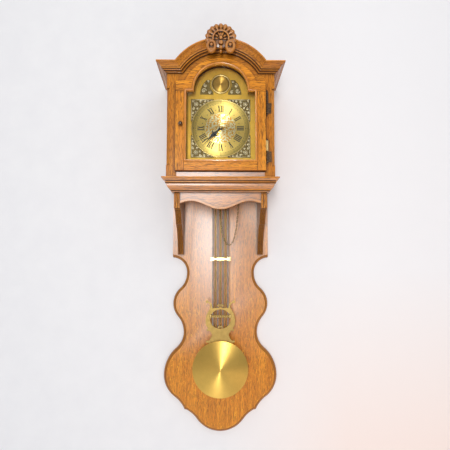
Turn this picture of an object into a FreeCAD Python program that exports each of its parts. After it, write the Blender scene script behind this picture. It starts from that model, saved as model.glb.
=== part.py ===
import FreeCAD, Part
import math
import os
import Sketcher

# A wall clock with a glazed hood, a shaped tail board and a lyre pendulum.
# Millimetres. X runs to the right, the front faces -Y, Z is up and the wall is the plane Y = 0.
# The origin is the centre of the hole by which the clock hangs.

PARTS_FOLDER = "parts"
Vector = FreeCAD.Vector

SIZES = {
    # Levels, measured from the hanging hole
    "cornice_top_height": 42,
    "shelf_top_drop": 290,
    "tail_shoulder_drop": 516,
    "tail_height": 538,
    "dial_centre_drop": 139.4,
    # Tail board
    "board_side_gap": 4,
    "board_thickness": 18,
    # Hanger
    "hanger_hole_radius": 5,
    "hanger_plate_width": 60,
    "hanger_plate_height": 44,
    "hanger_plate_thickness": 2.5,
    "hanger_pocket_radius": 12,
    "hanger_pocket_depth": 12,
    "hanger_screw_spacing": 44,
    "hanger_screw_radius": 1.75,
    "hanger_screw_length": 14,
    "screw_hole_clearance": 0.05,
    # Hood
    "hood_depth": 172,
    "hood_side_thickness": 16,
    "hood_front_thickness": 16,
    "hood_stile_width": 30,
    "hood_chamfer": 9,
    "hood_chamfer_bottom": 37,
    "hood_chamfer_top": 44,
    "hood_rail_height": 50,
    "hood_roof_thickness": 8,
    # Cornice
    "cornice_height": 27,
    "cornice_projection": 28,
    "arch_moulding_width": 32.4,
    "arch_above_door": 21.8,
    "arch_centre_above_bottom": -65.5,
    # Shelf under the hood
    "shelf_height": 39,
    "shelf_projection": 27,
    "shelf_set_in": 18,
    "shelf_moulding_back": 14,
    "shelf_board_thickness": 15,
    "shelf_board_side": 32,
    "shelf_opening_front": 24,
    # Apron and brackets
    "apron_thickness": 12,
    "apron_set_back": 17,
    "apron_set_in": 21,
    "apron_middle_drop": 35.4,
    "apron_wave": 12,
    "apron_wave_length": 170,
    "apron_bead_width": 7,
    "apron_bead_proud": 3,
    "bracket_width": 17,
    "bracket_block_height": 45,
    "bracket_set_back": 14,
    "bracket_step_height": 42,
    "bracket_step_depth": 86,
    "bracket_foot_height": 91,
    "bracket_foot_depth": 21,
    "bracket_ledge": 7,
    "bracket_step_hollow": 69,
    "bracket_foot_hollow": 118,
    "bracket_flute_radius": 2,
    "bracket_flute_spacing": 7,
    # Door
    "door_lap": 2.5,
    "door_thickness": 15,
    "door_gap": 0.3,
    "door_bottom_above_shelf": 20,
    "door_head_rise": 31,
    "door_head_width": 10.9,
    "door_arch_drop": 16.6,
    "sight_side_lap": 4.5,
    "sight_bottom_lap": 1.4,
    "sight_shoulder_lap": 11.6,
    "sight_arch_lap": 5.5,
    "sight_moulding_width": 6.3,
    "sight_moulding_proud": 2.5,
    "sight_moulding_depth": 8,
    "glass_thickness": 2.5,
    "glass_edge_gap": 0.5,
    "knob_radius": 5.8,
    "knob_neck_radius": 2.6,
    "knob_length": 14,
    "knob_base_radius": 4.4,
    "knob_base_thickness": 1.5,
    "knob_from_edge": 14.5,
    # Door hinges
    "hinge_radius": 3.7,
    "hinge_pin_radius": 1.6,
    "hinge_pin_clearance": 0.06,
    "hinge_half_length": 30,
    "hinge_from_door": 4.6,
    "hinge_leaf_thickness": 1.2,
    "hinge_leaf_width": 13,
    "hinge_upper_above_dial": 67,
    "hinge_lower_below_dial": 74,
    "hinge_gap": 0.4,
    "hinge_finial_radius": 2.6,
    # Dial
    "dial_set_back": 6,
    "dial_half_width": 102,
    "dial_shoulder_above_centre": 108,
    "dial_arch_radius": 82,
    "dial_arch_top": 182,
    "dial_thickness": 1.5,
    "dial_hole_radius": 5,
    "dial_foot_radius": 3,
    "dial_foot_length": 6.5,
    "dial_foot_spread": 52,
    "dial_foot_low": 40,
    "dial_foot_high": 60,
    "mask_side_lap": 0.5,
    "mask_shoulder_gap": 4,
    "mask_arch_gap": 2,
    "mask_strip_width": 23.5,
    "chapter_margin": 18,
    "chapter_width": 39,
    "chapter_thickness": 1.2,
    "centre_disc_thickness": 0.8,
    "centre_disc_gap": 0.1,
    "boss_above_centre": 132,
    "boss_radius": 28.3,
    "boss_disc_radius": 25.3,
    "boss_thickness": 1.6,
    "boss_dish": 1,
    "spandrel_thickness": 2.4,
    "spandrel_beyond_chapter": 2.5,
    "spandrel_gap": 1,
    "spandrel_reach": 66,
    # Hands
    "minute_hand_short": 7.5,
    "minute_hand_wing": 4.2,
    "hour_hand_reach": 7,
    "hour_hand_wing": 10.5,
    "hand_thickness": 0.8,
    "hand_hub_radius": 5,
    "minute_hand_front": 9,
    "hour_hand_front": 5.2,
    "hand_nut_radius": 3.4,
    "hand_nut_height": 3,
    "hand_nut_taper": 0.8,
    "hand_arbor_length": 20.3,
    # Movement plates
    "plate_thickness": 2,
    "plate_gap": 43,
    "plate_half_width": 68,
    "plate_below_dial": 52,
    "plate_above_dial": 74,
    "pillar_radius": 3.5,
    "pillar_inset": 7,
    "pillar_low_inset": 16,
    "pillar_low_rise": 4.5,
    "pivot_radius": 1,
    "pivot_clearance": 0.05,
    "arbor_radius": 1.6,
    "arbor_shake": 0.3,
    "seat_thickness": 12,
    "seat_before_plates": 4,
    "seat_behind_plates": 5,
    "seat_slot_inner": 6,
    "seat_slot_outer": 74,
    "seat_slot_half_width": 7,
    "seat_bearer_height": 16,
    "seat_bearer_width": 12,
    # Train
    "wheel_thickness": 1.4,
    "wheel_rim": 3.4,
    "wheel_spoke_width": 3.4,
    "wheel_hub_radius": 4,
    "pinion_leaves": 8,
    "great_teeth": 64,
    "great_tooth_size": 1.05,
    "centre_teeth": 70,
    "centre_tooth_size": 0.7,
    "third_teeth": 64,
    "third_tooth_size": 0.65,
    "third_offset": 17.5,
    "great_offset": 36,
    "great_layer": 23,
    "strike_layer": 37,
    "great_drop": 11.5,
    "centre_layer": 5,
    "third_layer": 13,
    "escape_layer": 37,
    "pinion_length": 5,
    "pinion_cap": 0.8,
    "escape_teeth": 30,
    "escape_radius": 17.5,
    "escape_tooth_depth": 3.4,
    "escape_tooth_width": 0.3,
    "pallet_above_escape": 24,
    "pallet_clearance": 1.0,
    "pallet_width": 1.2,
    "anchor_gap": 2,
    "anchor_width": 3,
    "anchor_hub_radius": 3.2,
    "crutch_length": 46,
    "crutch_width": 4,
    "crutch_thickness": 1.2,
    "crutch_behind_plate": 3,
    "crutch_hub_radius": 2.6,
    "crutch_fork_radius": 1,
    "crutch_fork_gap": 0.3,
    # Motion work behind the dial
    "cannon_teeth": 12,
    "minute_wheel_teeth": 36,
    "minute_tooth_size": 0.625,
    "minute_pinion_teeth": 10,
    "hour_wheel_teeth": 40,
    "hour_tooth_size": 0.6,
    "motion_thickness": 1.4,
    "motion_front_gap": 1.2,
    "motion_step": 2.2,
    "cannon_radius": 2.3,
    "cannon_bore_clearance": 0.05,
    "hour_pipe_thickness": 0.9,
    "hour_pipe_proud": 0.4,
    "stud_radius": 1.2,
    "stud_length": 5.4,
    "stud_root": 1,
    # Chain
    "sprocket_radius": 25,
    "sprocket_flange": 1.2,
    "sprocket_groove_depth": 2.9,
    "sprocket_flange_rise": 1,
    "chain_layer": 30,
    "chain_wire_radius": 0.65,
    "chain_pitch": 6.2,
    "chain_link_width": 4.6,
    "chain_seat_gap": 0.3,
    "chain_loop_drop": 327,
    "chain_tail_length": 120,
    "chain_play": 0.1,
    # Suspension and pendulum
    "pendulum_behind_plates": 20,
    "cock_width": 16,
    "cock_height": 10,
    "cock_above_axis": 3.5,
    "cock_foot_thickness": 3,
    "cock_slit": 1.2,
    "suspension_width": 8,
    "suspension_thickness": 0.3,
    "suspension_above_axis": 7,
    "suspension_length": 22,
    "suspension_block": 6,
    "suspension_block_thickness": 5,
    "leader_radius": 1.5,
    "rod_radius": 2,
    "rod_pitch": 7.6,
    "rod_top_below_dial": 106,
    "rod_bottom_below_dial": 600,
    "low_bar_height": 8,
    "low_bar_margin": 0.2,
    "top_bar_height": 12,
    "top_bar_thickness": 6,
    "bar_clearance": 0.05,
    "bridge_below_dial": 380.6,
    "bridge_height": 14,
    "bridge_half_width": 31,
    "bridge_thickness": 6,
    "lyre_top_below_dial": 504.4,
    "lyre_height": 150,
    "lyre_half_width": 44.3,
    "lyre_thickness": 2,
    "lyre_gap": 0.3,
    "bob_below_dial": 706,
    "bob_radius": 82.5,
    "bob_thickness": 16,
    "bob_edge": 3,
    "bob_dome_radius": 270,
    "bob_gap": 4.3,
    "bob_block_half_width": 8,
    "bob_block_height": 50,
    "nut_radius": 7.5,
    "nut_height": 6,
    "nut_below_bob": 40,
    "nut_clearance": 0.08,
    "nut_gap": 0.3,
    "rod_end_below_nut": 8,
    # Crest
    "crest_height": 87.5,
    "crest_thickness": 16,
    "crest_bottom_above_cornice": 13.5,
    "crest_shell_radius": 36,
    "crest_shell_step": 4,
    "crest_lobe_radius": 9,
    "crest_lobe_step": 2,
    "crest_volute_radius": 14.5,
    "crest_volute_spread": 25.5,
    "crest_scroll_radius": 11,
    "crest_scroll_spread": 29,
    "crest_scroll_above_volute": 15,
    "crest_husk_half_width": 11,
}

# Shares of the sizes that they follow

# Tail outline from the shoulder down, on the right: half width and drop at the start of each
# arc as shares of the board's half width and the tail's height, its radius as a share of the
# tail's height, and which way it bends (1 hollow, -1 full, 0 straight).
TAIL_ARC_SHARES = [
    (1.000, 0.000, 0.087, 1),
    (0.709, 0.095, 0.114, 1),
    (0.854, 0.182, 0.118, -1),
    (0.991, 0.270, 0.114, -1),
    (0.887, 0.346, 0.136, 1),
    (0.768, 0.435, 0.122, 1),
    (0.914, 0.526, 0.200, -1),
    (1.172, 0.680, 0.156, -1),
    (0.967, 0.801, 0.186, 1),
    (0.737, 0.877, 0.000, 0),
    (0.695, 0.879, 0.167, 1),
    (0.477, 0.933, 0.171, -1),
    (0.000, 1.000, 0.000, 0),
]

# Moulding sections from the bottom up: projection and height as shares
CORNICE_SECTION_SHARES = [
    (0.12, 0.00),
    (0.12, 0.07),
    (0.20, 0.09),
    (0.28, 0.15),
    (0.30, 0.20),
    (0.38, 0.20),
    (0.40, 0.27),
    (0.48, 0.33),
    (0.52, 0.34),
    (0.52, 0.48),
    (0.56, 0.50),
    (0.64, 0.60),
    (0.76, 0.72),
    (0.90, 0.81),
    (0.97, 0.83),
    (1.00, 0.85),
    (1.00, 1.00),
]
SHELF_SECTION_SHARES = [
    (0.04, 0.00),
    (0.09, 0.08),
    (0.22, 0.17),
    (0.40, 0.27),
    (0.52, 0.40),
    (0.55, 0.52),
    (0.61, 0.53),
    (0.66, 0.58),
    (0.66, 0.63),
    (0.72, 0.66),
    (0.72, 0.74),
    (0.78, 0.77),
    (0.90, 0.88),
    (1.00, 0.90),
    (1.00, 1.00),
]

# Arch ornament on the dial: across and up from the arch's centre, then the radius and the bend
# of the edge that follows, as shares of the dial arch's radius
ARCH_SPANDREL_SHARES = [
    (0.265, 0.012, 0.000, 0),
    (0.735, 0.012, 0.735, 1),
    (0.500, 0.540, 0.000, 0),
    (0.358, 0.540, 0.388, -1),
    (0.265, 0.107, 0.000, 0),
]

# Lyre, right half: across as a share of its half width, drop as a share of its height
LYRE_TOP_SHARES = [(0.000, 0.115), (0.181, 0.151), (0.406, 0.146), (0.533, 0.159)]
LYRE_HORN_SHARES = [(0.533, 0.159), (0.558, 0.121), (0.609, 0.075), (0.790, 0.031)]
LYRE_SIDE_SHARES = [
    (0.817, 0.053), (0.688, 0.091), (0.675, 0.137), (0.792, 0.205), (0.921, 0.280),
    (0.986, 0.355), (1.000, 0.431), (0.948, 0.498), (0.858, 0.540),
]
LYRE_WAIST_SHARES = [
    (0.740, 0.597), (0.637, 0.635), (0.571, 0.672), (0.637, 0.732), (0.740, 0.785),
]
LYRE_FOOT_SHARES = [(0.740, 0.785), (0.860, 0.800), (0.840, 0.830), (0.451, 0.941), (0.000, 0.975)]
LYRE_SCROLL_SHARES = [(0.895, 0.028, 0.095), (0.858, 0.585, 0.075), (0.896, 0.811, 0.079)]
LYRE_OPENING_SHARES = (0.368, 0.700, 0.190)
LYRE_BAR_SHARES = (0.291, 0.341)

# Teeth: reach beyond the pitch circle in tooth sizes, and place as a share of the pitch
WHEEL_TOOTH_SHARES = [
    (-1.25, -0.26), (0.00, -0.19), (0.85, -0.07), (0.85, 0.07), (0.00, 0.19), (-1.25, 0.26),
]
LEAF_TOOTH_SHARES = [
    (-1.15, -0.20), (0.00, -0.16), (0.75, -0.06), (0.75, 0.06), (0.00, 0.16), (-1.15, 0.20),
]
PIN_RADIUS_SHARE = 0.42
PINION_CAP_SHARE = 1.0

# Hands, pointing up: the curves of the right side from the hub to the tip, each point with its
# distance from the centre as a share of the length and its width as a share of the wing
MINUTE_HAND_SHARES = [
    [(0.05, 0.40), (0.22, 0.28)],
    [(0.22, 0.28), (0.27, 0.55), (0.32, 0.62), (0.37, 0.34)],
    [(0.37, 0.34), (0.38, 0.75), (0.36, 1.00)],
    [(0.36, 1.00), (0.41, 0.85), (0.44, 0.30)],
    [(0.44, 0.30), (1.00, 0.05)],
]
HOUR_HAND_SHARES = [
    [(0.06, 0.20), (0.32, 0.15)],
    [(0.32, 0.15), (0.37, 0.30), (0.42, 0.34), (0.46, 0.24)],
    [(0.46, 0.24), (0.46, 0.55), (0.43, 0.84), (0.40, 1.00)],
    [(0.40, 1.00), (0.48, 0.90), (0.535, 0.60), (0.555, 0.26)],
    [(0.555, 0.26), (0.60, 0.38), (0.66, 0.36), (0.73, 0.14)],
    [(0.73, 0.14), (1.00, 0.03)],
]
MINUTE_HAND_ANGLE = 224.4
HOUR_HAND_ANGLE = 228.8
ARCH_SWEEP_ANGLE = 150
ESCAPE_BACK_SHARE = 0.12
ESCAPE_FRONT_SHARE = 0.42
LYRE_BAR_REACH_SHARE = 0.76
CREST_LOBE_ANGLES = (-75, -50, -25, 0, 25, 50, 75)
PALLET_ANGLE = 45
ANCHOR_ANGLE = 48

# The pendulum's rods: the middle one and as many on each side
RODS_PER_SIDE = 3
ROD_PLACES = range(-RODS_PER_SIDE, RODS_PER_SIDE + 1)


class Length:
    """A size in millimetres, with the formula that ties it to the sheet."""

    def __init__(self, value, formula):
        self.value = float(value)
        self.formula = formula

    def joined(self, other, sign, value):
        return Length(value, f"({self.formula} {sign} {formula_of(other)})")

    def __add__(self, other):
        return self.joined(other, "+", self.value + float(other))

    def __radd__(self, other):
        return self + other

    def __sub__(self, other):
        return self.joined(other, "-", self.value - float(other))

    def __mul__(self, other):
        return self.joined(other, "*", self.value * float(other))

    def __rmul__(self, other):
        return self * other

    def __truediv__(self, other):
        return self.joined(other, "/", self.value / float(other))

    def __neg__(self):
        return Length(-self.value, f"(0 - {self.formula})")

    def __float__(self):
        return self.value


def formula_of(thing):
    """The formula of a size, or a plain number as text."""
    if isinstance(thing, Length):
        return thing.formula
    return repr(float(thing))


def root(square):
    """The square root of a size times a size."""
    return Length(math.sqrt(square.value), f"sqrt({square.formula})")


def leg(hypotenuse, other):
    """The other leg of a right triangle."""
    return root(hypotenuse * hypotenuse - other * other)


class Sheet:
    """The spreadsheet of driving sizes, read as size.name."""

    def __init__(self, document):
        sheet = document.addObject("Spreadsheet::Sheet", "Sizes")
        for row, (name, value) in enumerate(SIZES.items(), start=1):
            sheet.set(f"A{row}", name)
            sheet.set(f"B{row}", str(value))
            sheet.setAlias(f"B{row}", name)

    def __getattr__(self, name):
        return Length(SIZES[name], f"Sizes.{name}")


doc = FreeCAD.newDocument("WallClock")
size = Sheet(doc)
doc.recompute()
ZERO = Length(0, "0")
sub_parts = []


# Helpers that make bound objects


def keep(piece, name):
    """Marks an object as a sub-part of the clock."""
    piece.Label = name
    sub_parts.append(piece)
    return piece


def bind(target, place, value):
    target.setExpression(place, value.formula)


def move_to(piece, x=ZERO, y=ZERO, z=ZERO):
    """Binds a piece's place."""
    for axis, value in (("x", x), ("y", y), ("z", z)):
        bind(piece, f"Placement.Base.{axis}", value)


def block(name, across, depth, height):
    """A rectangular solid between two limits along X, Y and Z."""
    solid = doc.addObject("Part::Box", name)
    bind(solid, "Length", across[1] - across[0])
    bind(solid, "Width", depth[1] - depth[0])
    bind(solid, "Height", height[1] - height[0])
    move_to(solid, across[0], depth[0], height[0])
    return solid


TURNS = {
    "X": FreeCAD.Rotation(Vector(0, 1, 0), 90),
    "Y": FreeCAD.Rotation(Vector(1, 0, 0), -90),
    "Z": FreeCAD.Rotation(),
}


def rod(name, radius, length, x, y, z, axis="Y"):
    """A cylinder that starts at a point and runs along an axis."""
    solid = doc.addObject("Part::Cylinder", name)
    bind(solid, "Radius", radius)
    bind(solid, "Height", length)
    solid.Placement = FreeCAD.Placement(Vector(), TURNS[axis])
    move_to(solid, x, y, z)
    return solid


def joined(name, pieces):
    """One solid from several."""
    union = doc.addObject("Part::MultiFuse", name)
    union.Shapes = pieces
    return union


def cut(name, base, tool):
    difference = doc.addObject("Part::Cut", name)
    difference.Base = base
    difference.Tool = tool
    return difference


def group(name, pieces):
    """Separate solids that share one node."""
    compound = doc.addObject("Part::Compound", name)
    compound.Links = pieces
    return compound


def start_body(name):
    return doc.addObject("PartDesign::Body", name)


def start_sketch(body, plane_name, offset=ZERO):
    """A sketch on one of the body's own origin planes."""
    sketch = body.newObject("Sketcher::SketchObject", f"{body.Name}_sketch")
    plane = [one for one in body.Origin.OriginFeatures if one.Role == plane_name][0]
    sketch.AttachmentSupport = [(plane, "")]
    sketch.MapMode = "FlatFace"
    bind(sketch, "AttachmentOffset.Base.z", offset)
    return sketch


def arc_between(start, end, radius, turn):
    """The short arc from start to end. turn 1 bends left, -1 bends right."""
    chord = end - start
    half = chord.Length / 2
    rise = math.sqrt(max(radius * radius - half * half, 0))
    left = Vector(-chord.y, chord.x, 0).normalize()
    centre = (start + end) / 2 + left * rise * turn
    first, last = (start, end) if turn > 0 else (end, start)
    circle = Part.Circle(centre, Vector(0, 0, 1), radius)
    angles = [math.atan2(spot.y - centre.y, spot.x - centre.x) for spot in (first, last)]
    return Part.ArcOfCircle(circle, angles[0], angles[1])


def draw(sketch, corners):
    """A closed outline of bound corners (x, y), or (x, y, radius, turn) where an arc follows."""
    spots = [Vector(float(corner[0]), float(corner[1]), 0) for corner in corners]
    first = sketch.GeometryCount
    edges, starts, ends = [], [], []
    for index, corner in enumerate(corners):
        following = spots[(index + 1) % len(spots)]
        if len(corner) == 4 and corner[3] != 0:
            edges.append(arc_between(spots[index], following, float(corner[2]), corner[3]))
            starts.append(1 if corner[3] > 0 else 2)
        else:
            edges.append(Part.LineSegment(spots[index], following))
            starts.append(1)
        ends.append(3 - starts[-1])
    sketch.addGeometry(edges, False)
    limits, bindings = [], []
    for index, corner in enumerate(corners):
        edge = first + index
        following = (index + 1) % len(corners)
        limits.append(Sketcher.Constraint(
            "Coincident", edge, ends[index], first + following, starts[following]))
        for kind, value in (("DistanceX", corner[0]), ("DistanceY", corner[1])):
            bindings.append((len(limits), value))
            limits.append(Sketcher.Constraint(kind, -1, 1, edge, starts[index], float(value)))
        if len(corner) == 4 and corner[3] != 0:
            bindings.append((len(limits), corner[2]))
            limits.append(Sketcher.Constraint("Radius", edge, float(corner[2])))
    add_limits(sketch, limits, bindings)


def add_limits(sketch, limits, bindings):
    """Adds constraints and ties their values to the sheet."""
    before = sketch.ConstraintCount
    sketch.addConstraint(limits)
    for index, value in bindings:
        if isinstance(value, Length):
            sketch.setExpression(f"Constraints[{before + index}]", value.formula)


def ring(sketch, x, y, radius):
    """A bound circle in a sketch."""
    edge = sketch.GeometryCount
    centre = Vector(float(x), float(y), 0)
    sketch.addGeometry(Part.Circle(centre, Vector(0, 0, 1), float(radius)), False)
    limits = [
        Sketcher.Constraint("DistanceX", -1, 1, edge, 3, float(x)),
        Sketcher.Constraint("DistanceY", -1, 1, edge, 3, float(y)),
        Sketcher.Constraint("Radius", edge, float(radius)),
    ]
    add_limits(sketch, limits, [(0, x), (1, y), (2, radius)])


def box_corners(low_x, high_x, low_y, high_y):
    return [(low_x, low_y), (high_x, low_y), (high_x, high_y), (low_x, high_y)]


def mirrored(half, over=()):
    """A whole outline from its right half, walked from the top down. over bends the top edge."""
    whole = list(half)
    last = len(half) - 1
    if float(half[last][0]) == 0:
        whole[last] = tuple(half[last][:2]) + tuple(half[last - 1][2:])
        last -= 1
    for index in range(last, -1, -1):
        bend = half[index - 1][2:] if index else over
        whole.append((-half[index][0], half[index][1]) + tuple(bend))
    return whole


def pad(body, sketch, length):
    feature = body.newObject("PartDesign::Pad", f"{body.Name}_pad")
    feature.Profile = sketch
    bind(feature, "Length", length)
    return feature


def pocket_through(body, sketch):
    """A cut on both sides of its sketch, right through."""
    feature = body.newObject("PartDesign::Pocket", f"{body.Name}_pocket")
    feature.Profile = sketch
    feature.Type = 1
    feature.Midplane = True
    return feature


def panel(name, outlines, back, thickness, plane="XZ_Plane", circles=()):
    """A flat piece: outlines in the XZ plane, from its back face forward."""
    body = start_body(name)
    sketch = start_sketch(body, plane)
    for outline in outlines:
        draw(sketch, outline)
    for x, y, radius in circles:
        ring(sketch, x, y, radius)
    pad(body, sketch, thickness)
    if plane == "XZ_Plane":
        bind(body, "Placement.Base.y", back)
    elif plane == "YZ_Plane":
        bind(body, "Placement.Base.x", back)
    else:
        bind(body, "Placement.Base.z", back)
    return body


def turned(name, section, axis, x=ZERO, y=ZERO, z=ZERO):
    """A turned piece: section corners (radius, place along the axis), axis Y or Z."""
    body = start_body(name)
    sketch = start_sketch(body, "XY_Plane" if axis == "Y" else "XZ_Plane")
    draw(sketch, section)
    feature = body.newObject("PartDesign::Revolution", f"{name}_turning")
    feature.Profile = sketch
    feature.ReferenceAxis = (sketch, ["V_Axis"])
    feature.Angle = 360
    move_to(body, x, y, z)
    return body


def shaped(name, shape):
    """A piece whose shape is worked out below from the same sizes."""
    piece = doc.addObject("Part::Feature", name)
    piece.Shape = shape
    return piece


# Levels and faces that several pieces share

cornice_top = size.cornice_top_height
cornice_bottom = cornice_top - size.cornice_height
arch_centre = cornice_bottom + size.arch_centre_above_bottom
shelf_top = -size.shelf_top_drop
shelf_bottom = shelf_top - size.shelf_height
dial_centre = -size.dial_centre_drop
board_face = -size.board_thickness
hood_face = -size.hood_depth
hood_front_back = hood_face + size.hood_front_thickness
cornice_face = hood_face - size.cornice_projection
dial_front = hood_front_back + size.dial_set_back
dial_back = dial_front + size.dial_thickness
door_back = hood_face - size.door_gap
door_face = door_back - size.door_thickness
tail_shoulder = -size.tail_shoulder_drop
tail_bottom = tail_shoulder - size.tail_height
mask_half = size.dial_half_width - size.mask_side_lap
mask_shoulder = dial_centre + size.dial_shoulder_above_centre + size.mask_shoulder_gap
mask_arch_radius = size.dial_arch_radius + size.mask_arch_gap
mask_bottom = shelf_top + size.hood_rail_height
mask_arch_centre = dial_centre + size.dial_arch_top - size.dial_arch_radius
stile_inner = mask_half + size.mask_strip_width
hood_half = stile_inner + size.hood_stile_width
board_half = hood_half - size.board_side_gap
shelf_half = hood_half - size.shelf_set_in
apron_half = shelf_half - size.apron_set_in
door_half = stile_inner + size.door_lap
sight_half = size.dial_half_width - size.sight_side_lap
sight_bottom = dial_centre - size.dial_half_width + size.sight_bottom_lap
sight_shoulder = dial_centre + size.dial_shoulder_above_centre - size.sight_shoulder_lap
sight_arch_radius = size.dial_arch_radius - size.sight_arch_lap
door_arch_centre = mask_arch_centre - size.door_arch_drop
door_arch_radius = (sight_arch_radius + size.sight_moulding_width + size.door_head_width
                    + size.door_arch_drop)
arch_inner = door_arch_centre + door_arch_radius + size.arch_above_door - arch_centre
arch_outer = arch_inner + size.arch_moulding_width
chapter_outer = size.dial_half_width - size.chapter_margin
chapter_inner = chapter_outer - size.chapter_width
roof_under = cornice_top - size.hood_roof_thickness
vault_outer = arch_outer
vault_inner = vault_outer - size.hood_roof_thickness


# Tail board, in one plank from the roof down to the drop at the bottom


def tail_corners():
    half = []
    for width, drop, radius, turn in TAIL_ARC_SHARES:
        across = board_half * width if width else ZERO
        level = tail_shoulder - size.tail_height * drop
        half.append((across, level, size.tail_height * radius, turn))
    return half


def make_backboard():
    vault_end = leg(vault_inner, roof_under - arch_centre)
    top = [(vault_end, roof_under), (board_half, roof_under)]
    outline = mirrored(top + tail_corners(), (vault_inner, -1))
    body = start_body("backboard")
    sketch = start_sketch(body, "XZ_Plane")
    draw(sketch, outline)
    pad(body, sketch, size.board_thickness)
    bed = start_sketch(body, "XZ_Plane")
    draw(bed, box_corners(
        -size.hanger_plate_width / 2, size.hanger_plate_width / 2,
        -size.hanger_plate_height / 2, size.hanger_plate_height / 2))
    recess = body.newObject("PartDesign::Pocket", "hanger_bed")
    recess.Profile = bed
    recess.Reversed = True
    bind(recess, "Length", size.hanger_plate_thickness)
    well = start_sketch(body, "XZ_Plane", size.hanger_plate_thickness)
    ring(well, ZERO, ZERO, size.hanger_pocket_radius)
    hollow = body.newObject("PartDesign::Pocket", "hanger_well")
    hollow.Profile = well
    hollow.Reversed = True
    bind(hollow, "Length", size.hanger_pocket_depth - size.hanger_plate_thickness)
    holes = start_sketch(body, "XZ_Plane")
    for side in (-1, 1):
        ring(holes, size.hanger_screw_spacing * side / 2, ZERO,
             size.hanger_screw_radius + size.screw_hole_clearance)
    bores = body.newObject("PartDesign::Pocket", "hanger_screw_holes")
    bores.Profile = holes
    bores.Reversed = True
    bind(bores, "Length", size.hanger_screw_length)
    keep(body, "backboard")


def make_hanger():
    wide = size.hanger_plate_width / 2
    tall = size.hanger_plate_height / 2
    hole = size.hanger_screw_radius + size.screw_hole_clearance
    spot = size.hanger_screw_spacing / 2
    plate = panel(
        "hanger_plate", [box_corners(-wide, wide, -tall, tall)], ZERO,
        size.hanger_plate_thickness,
        circles=[(ZERO, ZERO, size.hanger_hole_radius), (spot, ZERO, hole), (-spot, ZERO, hole)])
    keep(plate, "hanger_plate")
    screws = [
        rod(f"hanger_screw_{side + 2}", size.hanger_screw_radius, size.hanger_screw_length,
            spot * side, -size.hanger_screw_length, ZERO)
        for side in (-1, 1)
    ]
    keep(group("hanger_screws", screws), "hanger_screws")


# Hood


def make_hood_stile(name, side):
    """A corner post of the hood front, with a stopped chamfer on its outer edge."""
    near, far = (stile_inner, hood_half)
    low, high = (near, far) if side > 0 else (-far, -near)
    body = start_body(name)
    sketch = start_sketch(body, "XZ_Plane")
    draw(sketch, box_corners(low, high, shelf_top, roof_under))
    pad(body, sketch, size.hood_front_thickness)
    edge = start_sketch(body, "XY_Plane", shelf_top + size.hood_chamfer_bottom)
    corner_x = hood_half * side
    front = -size.hood_front_thickness
    draw(edge, [
        (corner_x, front),
        (corner_x - size.hood_chamfer * side, front),
        (corner_x, front + size.hood_chamfer),
    ])
    chamfer = body.newObject("PartDesign::Pocket", f"{name}_chamfer")
    chamfer.Profile = edge
    chamfer.Reversed = True
    length = cornice_bottom - shelf_top - size.hood_chamfer_bottom - size.hood_chamfer_top
    bind(chamfer, "Length", length)
    bind(body, "Placement.Base.y", hood_front_back)
    return body


def make_hood():
    stiles = [make_hood_stile("stile_left", -1), make_hood_stile("stile_right", 1)]
    keep(group("hood_stiles", stiles), "hood_stiles")
    outer = hood_half
    inner = outer - size.hood_side_thickness
    depth = (hood_front_back, board_face)
    height = (shelf_top, roof_under)
    sides = [
        block("side_left", (-outer, -inner), depth, height),
        block("side_right", (inner, outer), depth, height),
    ]
    keep(group("hood_sides", sides), "hood_sides")
    rail = box_corners(-stile_inner, stile_inner, shelf_top, mask_bottom)
    keep(panel("hood_rail", [rail], hood_front_back, size.hood_front_thickness), "hood_rail")
    strips = [
        block("mask_strip_left", (-stile_inner, -mask_half),
              (hood_face, hood_front_back), (mask_bottom, mask_shoulder)),
        block("mask_strip_right", (mask_half, stile_inner),
              (hood_face, hood_front_back), (mask_bottom, mask_shoulder)),
    ]
    keep(group("hood_mask_strips", strips), "hood_mask_strips")
    make_fascia()
    make_roof()


def make_fascia():
    """The arched board over the dial opening."""
    rise = roof_under - arch_centre
    top_radius = root(stile_inner * stile_inner + rise * rise)
    foot = leg(mask_arch_radius, mask_shoulder - mask_arch_centre)
    half = [
        (stile_inner, roof_under),
        (stile_inner, mask_shoulder),
        (foot, mask_shoulder, mask_arch_radius, 1),
    ]
    outline = mirrored(half, (top_radius, -1))
    keep(panel("hood_fascia", [outline], hood_front_back, size.hood_front_thickness),
         "hood_fascia")


def make_roof():
    """Flat shoulders and a vault behind the arched moulding."""
    outer_end = leg(vault_outer, cornice_top - arch_centre)
    inner_end = leg(vault_inner, roof_under - arch_centre)
    half = [
        (outer_end, cornice_top),
        (hood_half, cornice_top),
        (hood_half, roof_under),
        (inner_end, roof_under, vault_inner, 1),
    ]
    outline = mirrored(half, (vault_outer, -1))
    keep(panel("hood_roof", [outline], ZERO, size.hood_depth), "hood_roof")


# Cornice


def section(shares, projection, rise, out_from, up_from, out_sign, back=ZERO):
    """A moulding's corners: projection outward from one line, height from another."""
    inner = out_from - back * out_sign
    corners = [(inner, up_from)]
    for out, up in shares:
        corners.append((out_from + projection * out * out_sign, up_from + rise * up))
    corners.append((inner, up_from + rise))
    return corners


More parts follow.
